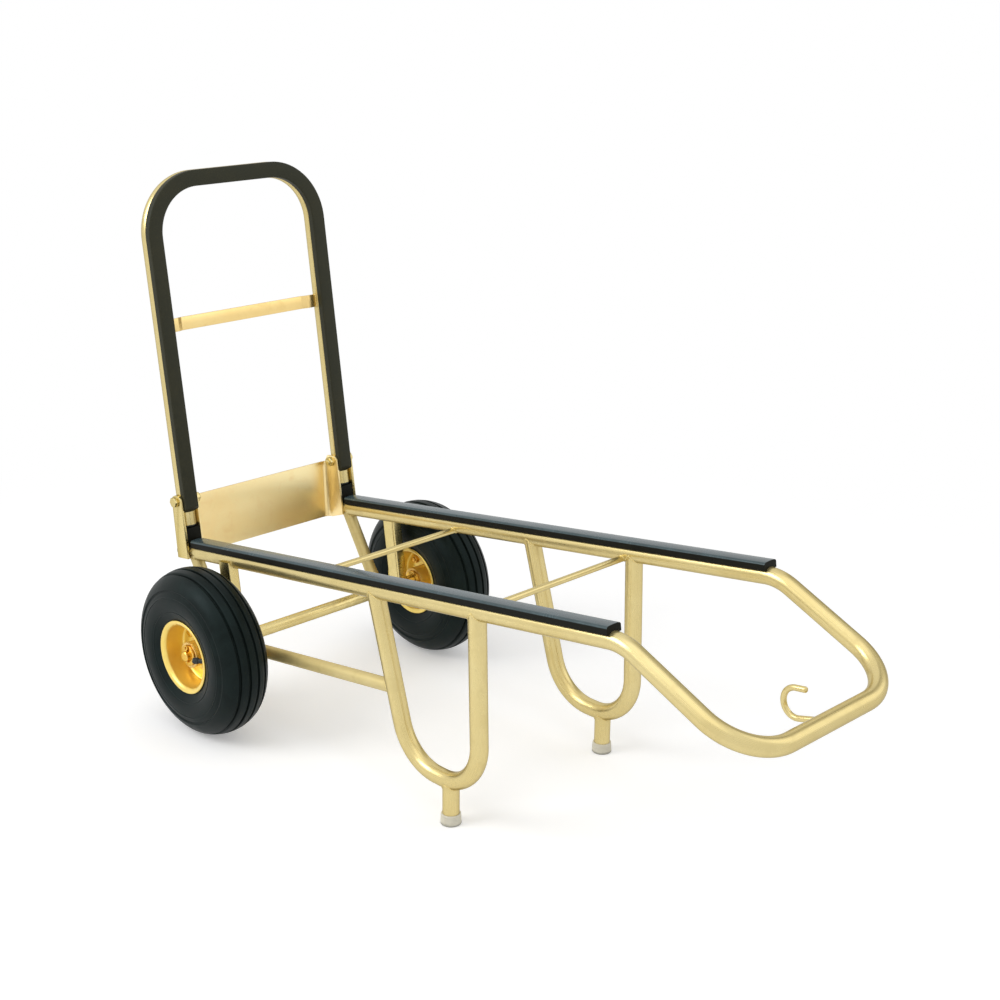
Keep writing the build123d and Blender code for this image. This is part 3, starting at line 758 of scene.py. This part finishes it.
def paper_floor():
    """White paper that keeps the shadow under the truck and runs out to plain white."""
    finish, tree, shader = new_finish("paper_floor")
    seen = seen_by_eye(tree)
    set_inputs(shader, Base_Color=(0.9, 0.9, 0.9, 1), Roughness=0.9, Specular_IOR_Level=0.0)
    lift = reckon(tree, "MULTIPLY", seen, floor_lift)
    set_inputs(shader, Emission_Color=(1, 1, 1, 1), Emission_Strength=lift)
    reach = place(tree, "ShaderNodeVectorMath", {0: object_place(tree)}, operation="LENGTH")["Value"]
    feeds = {"Value": reach, "From Min": paper_fade[0], "From Max": paper_fade[1]}
    away = place(tree, "ShaderNodeMapRange", feeds, interpolation_type="SMOOTHSTEP")[0]
    plain = place(tree, "ShaderNodeEmission", {"Color": (1, 1, 1, 1), "Strength": 1.0})[0]
    paper = tree.nodes["Principled BSDF"].outputs[0]
    feeds = {0: reckon(tree, "MULTIPLY", away, seen), 1: paper, 2: plain}
    mixed = place(tree, "ShaderNodeMixShader", feeds)[0]
    feed_socket(tree.nodes["Material Output"].inputs["Surface"], mixed)
    return finish


tube_shades = (linear(225, 208, 150), linear(215, 195, 132), linear(199, 180, 122))
sheet_shades = (linear(228, 211, 152), linear(218, 198, 136), linear(200, 181, 126))
plate_shades = (linear(244, 204, 112), linear(232, 184, 84), linear(210, 164, 76))
satin_shades = (linear(255, 239, 186), linear(255, 227, 164), linear(244, 211, 148))
bar_shades = (linear(246, 220, 154), linear(238, 206, 136), linear(224, 192, 124))
short_lines, long_lines = (700, 40, 700), (900, 8, 900)
brass_tube = brass(
    "brass_tube", *tube_shades, lay="lay", roughness=(0.22, 0.34), lacquer=0.3, metal=0.82
)
satin_tube = brass(
    "satin_brass_tube", *tube_shades, lay="lay", roughness=(0.42, 0.54), lacquer=0.2, metal=0.5
)
brass_sheet = brass("brass_sheet", *sheet_shades, fineness=short_lines)
gold_plate = brass("gold_plate", *plate_shades, fineness=short_lines)
satin_sheet = brass("satin_brass_sheet", *satin_shades, fineness=long_lines, roughness=(0.28, 0.42))
bar_sheet = brass("brass_bar", *bar_shades, fineness=long_lines, roughness=(0.24, 0.38))
gold_rim = painted_gold()
zinc = yellow_zinc()

rail_rubber = rubber(
    "rail_strip_rubber",
    linear(18, 16, 10),
    linear(30, 27, 18),
    roughness=(0.5, 0.64),
    grain=(900.0, 0.05),
    bloom_scale=18.0,
    gloss=0.12,
)
# Strip tops: glossier worn rubber, painted a lighter blue-grey than the dark sides as a painted sheen of the
# sky.
rubbed_top_with_painted_sheen = rubber(
    "rubbed_strip_top_painted_sheen",
    linear(54, 68, 72),
    linear(70, 88, 94),
    roughness=(0.22, 0.34),
    grain=(900.0, 0.03),
    bloom_scale=18.0,
    fineness=(10, 700, 10),
)
nose_rubber = rubber(
    "nose_strip_rubber",
    linear(44, 42, 26),
    linear(54, 51, 34),
    roughness=(0.5, 0.62),
    grain=(900.0, 0.06),
    bloom_scale=24.0,
    gloss=0.25,
)
tyre_rubber = rubber(
    "tyre_rubber",
    linear(12, 17, 14),
    linear(22, 31, 29),
    roughness=(0.38, 0.56),
    grain=(700.0, 0.1),
    bloom_scale=26.0,
    gloss=0.15,
    tint=(0.7, 0.95, 1.0, 1),
)
tube_rubber = rubber("tube_rubber", linear(22, 22, 22), linear(34, 34, 34), (0.42, 0.55), (1200.0, 0.04))
pale_rubber = pale_tip_rubber_dirt_and_shade()
black_plastic = rubber("black_plastic", linear(26, 25, 23), linear(38, 37, 34), (0.35, 0.5), (1500.0, 0.04))

bent_tube = bent_tube_tree()
extrusion = extrusion_tree()
weld_ripples = weld_tree()
rib_ring = rib_ring_tree()


# Bed, handle, legs and feet
def tube(name, corners, bends, radius, finish, sides_round=40, bend_steps=18):
    sizes = {"Radius": radius * mm, "Sides": sides_round, "Bend Steps": bend_steps, "Finish": finish}
    return grow(name, line_mesh(name, [corners], bends), bent_tube, sizes)


def loop_line(*places):
    """Points out along the left side of a loop, and back along the right."""
    left = [on_bed(along, -rail_offset, above) for along, above in places]
    return left + [on_bed(along, rail_offset, above) for along, above in reversed(places)]


def bed_and_handle():
    corners = loop_line((rail_rear, 0), (handle_bend_along, 0), (handle_end_along, -handle_drop))
    bends = [0] + [frame_bend] * 4 + [0]
    name = "bed_and_handle_tube"
    piece = tube(name, corners, bends, tube_radius, brass_tube, sides_round=48, bend_steps=24)
    settle(piece, "frame", "polished_brass", "frame_tube")


def leg_corners(across):
    return [
        on_bed(leg_rear_along, across, 0),
        over_floor(leg_rear_corner, across, leg_bottom),
        over_floor(leg_front_corner, across, leg_bottom),
        on_bed(leg_front_along, across, 0),
    ]


def truss_corners(across):
    return [
        on_bed(truss_start_along, across, 0),
        on_bed(truss_bend_along, across, truss_above),
        on_bed(truss_end_along, across, truss_above),
    ]


def legs_and_trusses():
    leg_bends = [0, leg_rear_bend, leg_front_bend, 0]
    truss_bends = [0, truss_bend, 0]
    for name, side in sides:
        corners = leg_corners(side * rail_offset)
        leg = tube(f"{name}_bent_leg", corners, leg_bends, tube_radius, brass_tube, bend_steps=28)
        settle(leg, "frame", "polished_brass", f"{name}_leg")
        corners = truss_corners(side * rail_offset)
        truss = tube(f"{name}_truss", corners, truss_bends, truss_radius, satin_tube)
        settle(truss, "frame", "polished_brass", f"{name}_truss_tube")


def foot_tip_section():
    """A grooved sole, a slight flare with three sunk rings, and a socket for the stub."""
    edge = foot_edge_round
    section = foot_sole + arc((foot_base_radius - edge, edge), edge, -90, -3, 5)
    flare = (foot_base_radius - foot_top_radius) / foot_tip_height
    for height in foot_ring_heights:
        radius = foot_base_radius - flare * height
        section += [(radius, height)]
        section += [(radius - foot_ring_depth, height + rise) for rise in foot_ring_floor]
        section += [(radius - flare * foot_ring_width, height + foot_ring_width)]
    section += arc((foot_top_radius - edge, foot_tip_height - edge), edge, 0, 90, 5)
    section += [(foot_socket_radius, foot_tip_height), (foot_socket_radius, foot_socket_floor)]
    return section + [(0.0, foot_socket_floor)]


def feet():
    """Stubs of tube, each with a tip pushed over it."""
    for name, side in sides:
        across = side * rail_offset
        ends = [over_floor(foot_forward, across, height) for height in foot_stub_heights]
        stub = tube(f"{name}_stub", ends, [0, 0], foot_stub_radius, brass_tube)
        settle(stub, "frame", "polished_brass", f"{name}_foot_stub")
        sole = over_floor(foot_forward, across, 0)
        tip = spun(f"{name}_tip", foot_tip_section(), sole, up, pale_rubber, steps=64)
        settle(tip, "frame", "tan_rubber", f"{name}_foot_tip")


def cross_rods():
    reach = rail_offset - rod_stop
    for name, along in (("rear", rear_rod_along), ("front", front_rod_along)):
        ends = [on_bed(along, -reach, rod_above), on_bed(along, reach, rod_above)]
        rod = tube(f"{name}_rod", ends, [0, 0], rod_radius, brass_tube, sides_round=24)
        settle(rod, "frame", "polished_brass", f"{name}_cross_rod")


def coat_hook():
    """A bent rod with rounded ends."""
    places = (hook_root, (hook_back, hook_low), (hook_back, hook_high), (hook_tip, hook_high))
    corners = [on_bed(along, 0, above) for along, above in places]
    bends = [0, hook_bend, hook_bend, 0]
    hook = tube("coat_hook", corners, bends, hook_radius, brass_tube, sides_round=28)
    made = bmesh.new()
    made.from_mesh(hook.data)
    round_edges(made, sharp_edges(made, 60), hook_end_round, steps=5)
    made.to_mesh(hook.data)
    made.free()
    settle(hook, "frame", "polished_brass", "garment_hook", angle=50)


# Pieces with a drawn section
def drawn_section(name, points):
    mesh = line_mesh(name, [[Vector((x, y, 0)) * mm for x, y in points]], closed=True)
    return add_object(name, mesh)


def extruded(name, corners, bends, section, facing, finish, bend_steps=1, wear_and_painted_light=None):
    sizes = {"Section": section, "Facing": facing, "Bend Steps": bend_steps, "Finish": finish}
    return grow(name, line_mesh(name, [corners], bends), extrusion, sizes | (wear_and_painted_light or {}))


def struts():
    """Box tubes with rolled corners, from the axle sleeve up to the rails."""
    long, wide = strut_length / 2 - strut_roll, strut_width / 2 - strut_roll
    points = []
    for corner, (x, y) in enumerate(((1, 1), (-1, 1), (-1, -1), (1, -1))):
        points += arc((x * long, y * wide), strut_roll, 90 * corner, 90 * corner + 90, 5)
    section = drawn_section("strut_section", points)
    for name, side in sides:
        ends = [on_bed(axle_along, side * strut_offset, above) for above in (axle_above, strut_top)]
        strut = extruded(f"{name}_box_strut", ends, [0, 0], section, along_bed, brass_sheet)
        settle(strut, "frame", "polished_brass", f"{name}_axle_strut")
    bpy.data.objects.remove(section)


def strip_section(name, half_width, lip, front, roll):
    """Saddle on a tube, softly crowned in front, with thin lips down the tube's flanks."""
    reach = sqrt(tube_radius**2 - lip**2)
    heights = [reach - 2 * reach * (k / 24) for k in range(25)]
    flank = [(sqrt(tube_radius**2 - y**2), y) for y in heights]
    turns = [pi / 2 * k / 6 for k in range(7)]
    edge, inset = front - strip_crown - roll, half_width - roll
    corner = [(edge + roll * sin(t), inset + roll * cos(t)) for t in turns]
    crown = [(front - strip_crown * (t * t), inset * t) for t in [k / 4 for k in range(-3, 4)]]
    lip_edge = [(lip + strip_lip_round, half_width), (lip, half_width - strip_lip_round)]
    line = flank + [(x, -y) for x, y in lip_edge[::-1] + corner]
    return drawn_section(name, line + crown + corner[::-1] + lip_edge)


def rail_strips():
    section = strip_section(
        "rail_strip_section", rail_strip_half_width, rail_strip_lip, rail_strip_top, rail_strip_roll
    )
    # The tops take the worn finish with its painted sheen.
    wear_and_painted_light = {"Rubbed Sheen Side": off_bed, "Rubbed Sheen Finish": rubbed_top_with_painted_sheen}
    for name, side in sides:
        ends = [on_bed(along, side * rail_offset, 0) for along in (rail_strip_start, rail_strip_end)]
        strip = extruded(f"{name}_rail_strip", ends, [0, 0], section, off_bed, rail_rubber, wear_and_painted_light=wear_and_painted_light)
        settle(strip, "frame", "black_rubber", f"{name}_rail_bumper")
    bpy.data.objects.remove(section)


# Hinge and nose
def hinge_sheets():
    dress("folded_toe_plate", "toe_plate", satin_sheet, 0.7, "frame", "satin_brass", angle=30)
    for name, _ in sides:
        ear, block = f"{name}_hinge_ear", f"{name}_stop_block"
        dress(f"{name}_outer_ear", ear, brass_sheet, 0.8, "frame", "polished_brass", angle=30)
        dress(f"{name}_rubber_stop", block, rail_rubber, 1.0, "frame", "black_rubber", angle=30)
    for name, node in (("hinge_bolts", "pivot_bolts"), ("hinge_nuts", "pivot_nuts")):
        dress(name, node, brass_sheet, 0.6, "frame", "polished_brass", angle=30)


def nose_tube():
    """The bent loop, a little flattened where its posts run between the ears, also when it is folded."""
    corners = loop_line((0, post_end), (0, flat_end), (0, flat_end + flat_fade), (0, nose_height))
    bends = [0, 0, 0, nose_bend, nose_bend, 0, 0, 0]
    piece = tube("nose_tube", corners, bends, tube_radius, brass_tube, sides_round=48, bend_steps=24)
    limit = (tube_radius - running_gap) * mm
    for point in piece.data.vertices:
        if (point.co - pivot).dot(off_bed) < (flat_end + ring_slack - pivot_above) * mm:
            post = rail_offset * mm * (1 if point.co.y > 0 else -1)
            point.co.y = min(max(point.co.y, post - limit), post + limit)
    settle(piece, "nose", "polished_brass", "nose_loop")


def nose_strip():
    """The rubber strip round the loop, with its two ends cut back on a bevel."""
    section = strip_section(
        "nose_strip_section", nose_strip_half_width, nose_strip_lip, nose_strip_front, nose_strip_roll
    )
    bevel_end = nose_strip_end + nose_strip_bevel + 1
    corners = loop_line((0, nose_strip_end), (0, bevel_end), (0, nose_height))
    bends = [0, 0, nose_bend, nose_bend, 0, 0]
    piece = extruded("nose_strip", corners, bends, section, along_bed, nose_rubber, bend_steps=24)
    slope = nose_strip_bevel / (nose_strip_front - tube_radius)
    for point in piece.data.vertices:
        above = (point.co - pivot).dot(off_bed) + pivot_above * mm
        if above < (nose_strip_end + ring_slack) * mm:
            forward = (point.co - pivot).dot(along_bed) - tube_radius * mm
            point.co += off_bed * max(0.0, forward) * slope
    settle(piece, "nose", "black_rubber", "nose_bumper")
    bpy.data.objects.remove(section)


def nose_bar():
    dress("joggled_crossbar", "nose_crossbar", bar_sheet, 0.6, "nose", "polished_brass", angle=30)
    dress("post_plugs", "nose_end_plugs", black_plastic, 0.4, "nose", "black_plastic", angle=30)


# Welds
def foot_seam(across):
    """Where a foot's stub meets the leg, which already curves up there."""
    corners = leg_corners(across)
    turn = (corners[3] - corners[2]).angle(Vector((1, 0, 0)))
    bend_start = leg_front_corner - leg_front_bend * tan(turn / 2)
    lean = asin((foot_forward - bend_start) / leg_front_bend)
    rise = leg_front_bend * (1 - cos(lean))
    host = over_floor(foot_forward, across, leg_bottom + rise)
    return saddle(host, -up, foot_stub_radius, host, Vector((cos(lean), 0, sin(lean))))


def hook_seam():
    root = on_bed(handle_end_along, 0, -handle_drop)
    direction = (on_bed(hook_back, 0, hook_low) - root).normalized()
    return saddle(root, direction, hook_radius, root, across_bed)


def side_seams(side):
    """Closed seams on one side: the ends of the leg and the truss, the foot, and the rods."""
    across = side * rail_offset
    leg, truss = leg_corners(across), truss_corners(across)
    leg_rear = (leg[1] - leg[0]).normalized()
    leg_front = (leg[2] - leg[3]).normalized()
    truss_rear = (truss[1] - truss[0]).normalized()
    seams = [
        saddle(leg[0], leg_rear, tube_radius, leg[0], along_bed),
        saddle(leg[3], leg_front, tube_radius, leg[3], along_bed),
        saddle(truss[0], truss_rear, truss_radius, truss[0], along_bed),
        saddle(truss[2], -along_bed, truss_radius, leg[0], leg_rear),
        foot_seam(across),
    ]
    for along in (rear_rod_along, front_rod_along):
        root, host = on_bed(along, across, rod_above), on_bed(along, across, 0)
        seams.append(saddle(root, across_bed * -side, rod_radius, host, along_bed))
    return seams


def side_runs(side):
    """Open runs on one side: the strut at the rail and at the axle sleeve, and the ears at the rail."""
    under = [radians(90 * k / 8) for k in range(9)]
    flank = [(side * (rail_offset + tube_radius * cos(t)), -tube_radius * sin(t)) for t in under]
    half = strut_length / 2
    rear = [on_bed(axle_along - half, across, above) for across, above in flank]
    front = [on_bed(axle_along + half, across, above) for across, above in flank]
    runs = [rear + front[::-1]]
    over = [radians(angle) for angle in range(0, 181, 15)]
    sleeve = [(axle_along + sleeve_radius * cos(t), axle_above + sleeve_radius * sin(t)) for t in over]
    for face in (-1, 1):
        edge = side * (strut_offset + face * strut_width / 2)
        runs.append([on_bed(along, edge, above) for along, above in sleeve])
    ends = (ear_rear + ear_weld_margin, ear_front - ear_weld_margin)
    for face in (1, -1):
        lower = side * (rail_offset + face * ear_weld_inset)
        runs.append([on_bed(along, lower, ear_weld_above) for along in ends])
    return runs


def tab_seam(side):
    """Round a crossbar tab, on the inner side of its post."""
    tab = side * (rail_offset - tube_radius + tab_weld_sink)
    deep, tall = crossbar_thickness / 2 + tab_weld_gap, crossbar_height / 2
    outline = ((deep, tall), (deep, -tall), (-deep, -tall), (-deep, tall))
    return [on_bed(along, tab, crossbar_above + above) for along, above in outline]


def welds():
    """Seams at every joint of the bed, and at the crossbar's two tabs."""
    seams = [seam for _, side in sides for seam in side_seams(side)] + [hook_seam()]
    runs = [run for _, side in sides for run in side_runs(side)]
    tabs = [tab_seam(side) for _, side in sides]
    sizes = {"Bead Radius": weld_radius * mm, "Pitch": weld_pitch * mm, "Unevenness": weld_unevenness}
    sizes |= {"Seed": weld_seed, "Finish": brass_sheet}
    for name, lines, closed, body in (
        ("frame_seam_welds", seams, True, "frame"),
        ("frame_line_welds", runs, False, "frame"),
        ("crossbar_welds", tabs, True, "nose"),
    ):
        piece = grow(name, line_mesh(name, lines, closed=closed), weld_ripples, sizes)
        settle(piece, body, "polished_brass")


# Axle and wheels
def axle_parts():
    for name, node, finish, edge, slot in (
        ("axle_bar", "axle", gold_plate, 0.3, "polished_brass"),
        ("axle_cover", "axle_sleeve", brass_sheet, 0.5, "polished_brass"),
        ("thrust_washers", "axle_washers", gold_plate, 0.4, "polished_brass"),
        ("split_pins", "cotter_pins", gold_plate, 0.3, "polished_brass"),
        ("rail_caps", "rail_end_plugs", black_plastic, 0.3, "black_plastic"),
    ):
        dress(name, node, finish, edge, "frame", slot)


def on_tread(offset, sunk=0.0):
    """A point on the round tread, or a little under it."""
    return (offset, wheel_radius - tread_round + sqrt(tread_round**2 - offset**2) - sunk)


def tread_groove(middle):
    """A groove with eased edges and a round floor."""
    near, far = middle - groove_width / 2, middle + groove_width / 2
    floor = on_tread(middle, groove_depth)[1]
    points = [on_tread(near - 6 * groove_edge), on_tread(near - groove_edge), on_tread(near, groove_edge)]
    points += [(near + inward, floor + rise) for inward, rise in groove_floor]
    points += [(far - inward, floor + rise) for inward, rise in reversed(groove_floor)]
    return points + [on_tread(far, groove_edge), on_tread(far + groove_edge)]


def ridge(spot):
    """A fine raised ring on the sidewall."""
    return [(spot[0] + rise, spot[1] + along) for rise, along in sidewall_ridge]


def tyre_section():
    """Ribbed round tread, ridged shoulder, ringed sidewall, and a bead that sits in the rim."""
    half = [on_tread(offset) for offset in crown_offsets]
    for middle in groove_offsets:
        half += tread_groove(middle)
    half += arc_through(on_tread(tread_half_width), shoulder_middle, shoulder_edge, 12)[2:]
    half += shoulder_ring
    wall = arc_through(sidewall_top, sidewall_middle, sidewall_foot, 22)
    half += wall[3:5] + ridge(wall[5]) + wall[6:16] + ridge(wall[16]) + wall[17:]
    half += [(bead_face, bead_top), (bead_face, bead_radius + bead_heel)]
    half += [(bead_face - bead_heel, bead_radius)]
    half += arc_through((bead_toe, bead_radius), liner_middle, liner_shoulder, 10) + liner_crown
    return half + [(-offset, radius) for offset, radius in reversed(half[1:-1])]


def rim_section(half):
    """A deep pressed dish with a raised bolt land and a rolled lip."""
    inside, edge = bead_seat - rim_sheet, rim_sheet / 2
    heel = lip_bend - rim_sheet
    line = [(rim_gap, hub_radius + rim_gap), (rim_sheet, hub_radius + rim_gap)]
    line += [(rim_sheet + rise, radius) for rise, radius in bolt_land]
    line += arc((rim_sheet + dish_bend, inside - dish_bend), dish_bend, 180, 90, 6)
    line += arc((lip_face - lip_bend, inside + lip_bend), lip_bend, -90, 0, 10)
    line += arc((lip_face - edge, lip_radius - edge), edge, 0, 180, 6)
    line += arc((lip_face - rim_sheet - heel, bead_seat + heel), heel, 0, -90, 6)
    line += [(rim_gap, bead_seat)]
    return [(half * offset, radius) for offset, radius in line]


def valve(name, side, body):
    """A straight rubber stem on a collar, slanting out of the dish, and a ribbed screw cap."""
    root, tip = (on_wheel(side, *end, valve_angle) for end in (valve_root, valve_tip))
    axis = (tip - root).normalized()
    reach = (tip - root).length / mm - cap_length
    section = [(0.0, 0.0), (valve_radius, 0.0)] + valve_collar + [(valve_radius, valve_collar_end)]
    section += [(valve_radius, reach), (0.0, reach)]
    stem = spun(f"{name}_stem", section, root, axis, tube_rubber, steps=32)
    settle(stem, body, "tube_rubber", f"{name}_valve_stem")
    dress(f"{name}_cap", f"{name}_valve_cap", black_plastic, 0.4, body, "black_plastic")
    ring = ring_round(tip - axis * cap_length * cap_rib_back * mm, axis, cap_radius, cap_rib_count)
    sizes = {"Rib Radius": cap_rib_radius * mm, "Rib Length": cap_length * cap_rib_share * mm}
    sizes |= {"Facing": axis, "Finish": black_plastic}
    ribs = grow(f"{name}_cap_ribs", line_mesh("cap_rib_places", [ring]), rib_ring, sizes)
    settle(ribs, body, "black_plastic")


def wheels():
    for name, side in sides:
        body = f"{name}_wheel"
        tyre = turned(f"{name}_ribbed_tyre", tyre_section(), side, tyre_rubber, steps=144)
        settle(tyre, body, "tyre_rubber", f"{name}_tyre")
        for half_name, half in (("outer", 1), ("inner", -1)):
            rim = turned(f"{name}_{half_name}_dish", rim_section(half), side, gold_rim, steps=120)
            settle(rim, body, "gold_paint", f"{name}_{half_name}_rim")
        for piece, node, finish, edge, slot in (
            ("hub_tube", "hub", gold_rim, 0.5, "gold_paint"),
            ("bearing_pair", "bearings", zinc, 0.3, "bright_steel"),
            ("dish_bolts", "rim_bolts", gold_plate, 0.5, "polished_brass"),
            ("dish_nuts", "rim_nuts", gold_plate, 0.5, "polished_brass"),
        ):
            dress(f"{name}_{piece}", f"{name}_{node}", finish, edge, body, slot)
        valve(name, side, body)


def dress_hidden_nodes():
    """The sealed pieces that stay as the CAD made them."""
    finishes = {"left_inner_tube": tube_rubber, "right_inner_tube": tube_rubber, "pivot_bushes": zinc}
    for node, finish in finishes.items():
        for slot in frame["nodes"][node].material_slots:
            slot.material = finish


# Stage
def stage_floor():
    corners = [(-1, -1), (1, -1), (1, 1), (-1, 1)]
    mesh = bpy.data.meshes.new("floor")
    mesh.from_pydata([(x * floor_reach, y * floor_reach, 0) for x, y in corners], [], [(0, 1, 2, 3)])
    mesh.materials.append(paper_floor())
    add_object("floor", mesh)


def studio_sky():
    """An even white surround, at its full level to the eye only."""
    world = bpy.data.worlds.new("studio")
    world.use_nodes = True
    tree = world.node_tree
    tree.nodes.clear()
    level = value_between(tree, seen_by_eye(tree), sky_level, 1.0)
    sky = place(tree, "ShaderNodeBackground", {"Color": (1, 1, 1, 1), "Strength": level})[0]
    place(tree, "ShaderNodeOutputWorld", {"Surface": sky})
    bpy.context.scene.world = world


def dark_card():
    """A tall grey card behind the truck, which gives its polished tubes their darker edges."""
    steps = 8
    start, sweep = card_turns
    turns = [radians(start + sweep * k / steps) for k in range(steps + 1)]
    points = [(card_reach * cos(t), card_reach * sin(t), height) for height in card_heights for t in turns]
    mesh = bpy.data.meshes.new("dark_card")
    mesh.from_pydata(points, [], [(k, k + 1, steps + 2 + k, steps + 1 + k) for k in range(steps)])
    finish, _, shader = new_finish("card_grey")
    set_inputs(shader, Base_Color=(0, 0, 0, 1), Specular_IOR_Level=0.0)
    set_inputs(shader, Emission_Color=(0.9, 0.88, 0.8, 1), Emission_Strength=card_level)
    mesh.materials.append(finish)
    card = add_object("dark_card", mesh)
    card.visible_camera = card.visible_diffuse = card.visible_transmission = card.visible_shadow = False


def lamps():
    for name, spot, aim, size, watts in softboxes:
        lamp = bpy.data.lights.new(name, "AREA")
        lamp.size = size
        lamp.energy = watts
        made = add_object(name, lamp)
        made.location = spot
        made.rotation_euler = (Vector(aim) - Vector(spot)).to_track_quat("-Z", "Y").to_euler()


def camera():
    """Stands where the photograph was taken from."""
    yaw, pitch, roll = camera_yaw, camera_pitch, camera_roll
    look = Vector((-sin(yaw) * cos(pitch), cos(yaw) * cos(pitch), -sin(pitch)))
    level_right = Vector((cos(yaw), sin(yaw), 0))
    level_down = look.cross(level_right)
    right = level_right * cos(roll) + level_down * sin(roll)
    down = level_down * cos(roll) - level_right * sin(roll)
    lens = bpy.data.cameras.new("photo_camera")
    lens.sensor_width = sensor_width
    lens.lens = sensor_width * focal_pixels / picture_pixels
    lens.shift_x = 0.5 - picture_centre[0] / picture_pixels
    lens.shift_y = picture_centre[1] / picture_pixels - 0.5
    made = add_object("photo_camera", lens)
    axes = Matrix((right, -down, -look)).transposed().to_4x4()
    made.matrix_world = Matrix.Translation(camera_spot) @ axes
    bpy.context.scene.camera = made


bed_and_handle()
legs_and_trusses()
feet()
cross_rods()
coat_hook()
struts()
rail_strips()
hinge_sheets()
nose_tube()
nose_strip()
nose_bar()
welds()
axle_parts()
wheels()
dress_hidden_nodes()
stage_floor()
studio_sky()
dark_card()
lamps()
camera()

bpy.context.scene.view_settings.view_transform = "Standard"
bpy.context.view_layer.update()
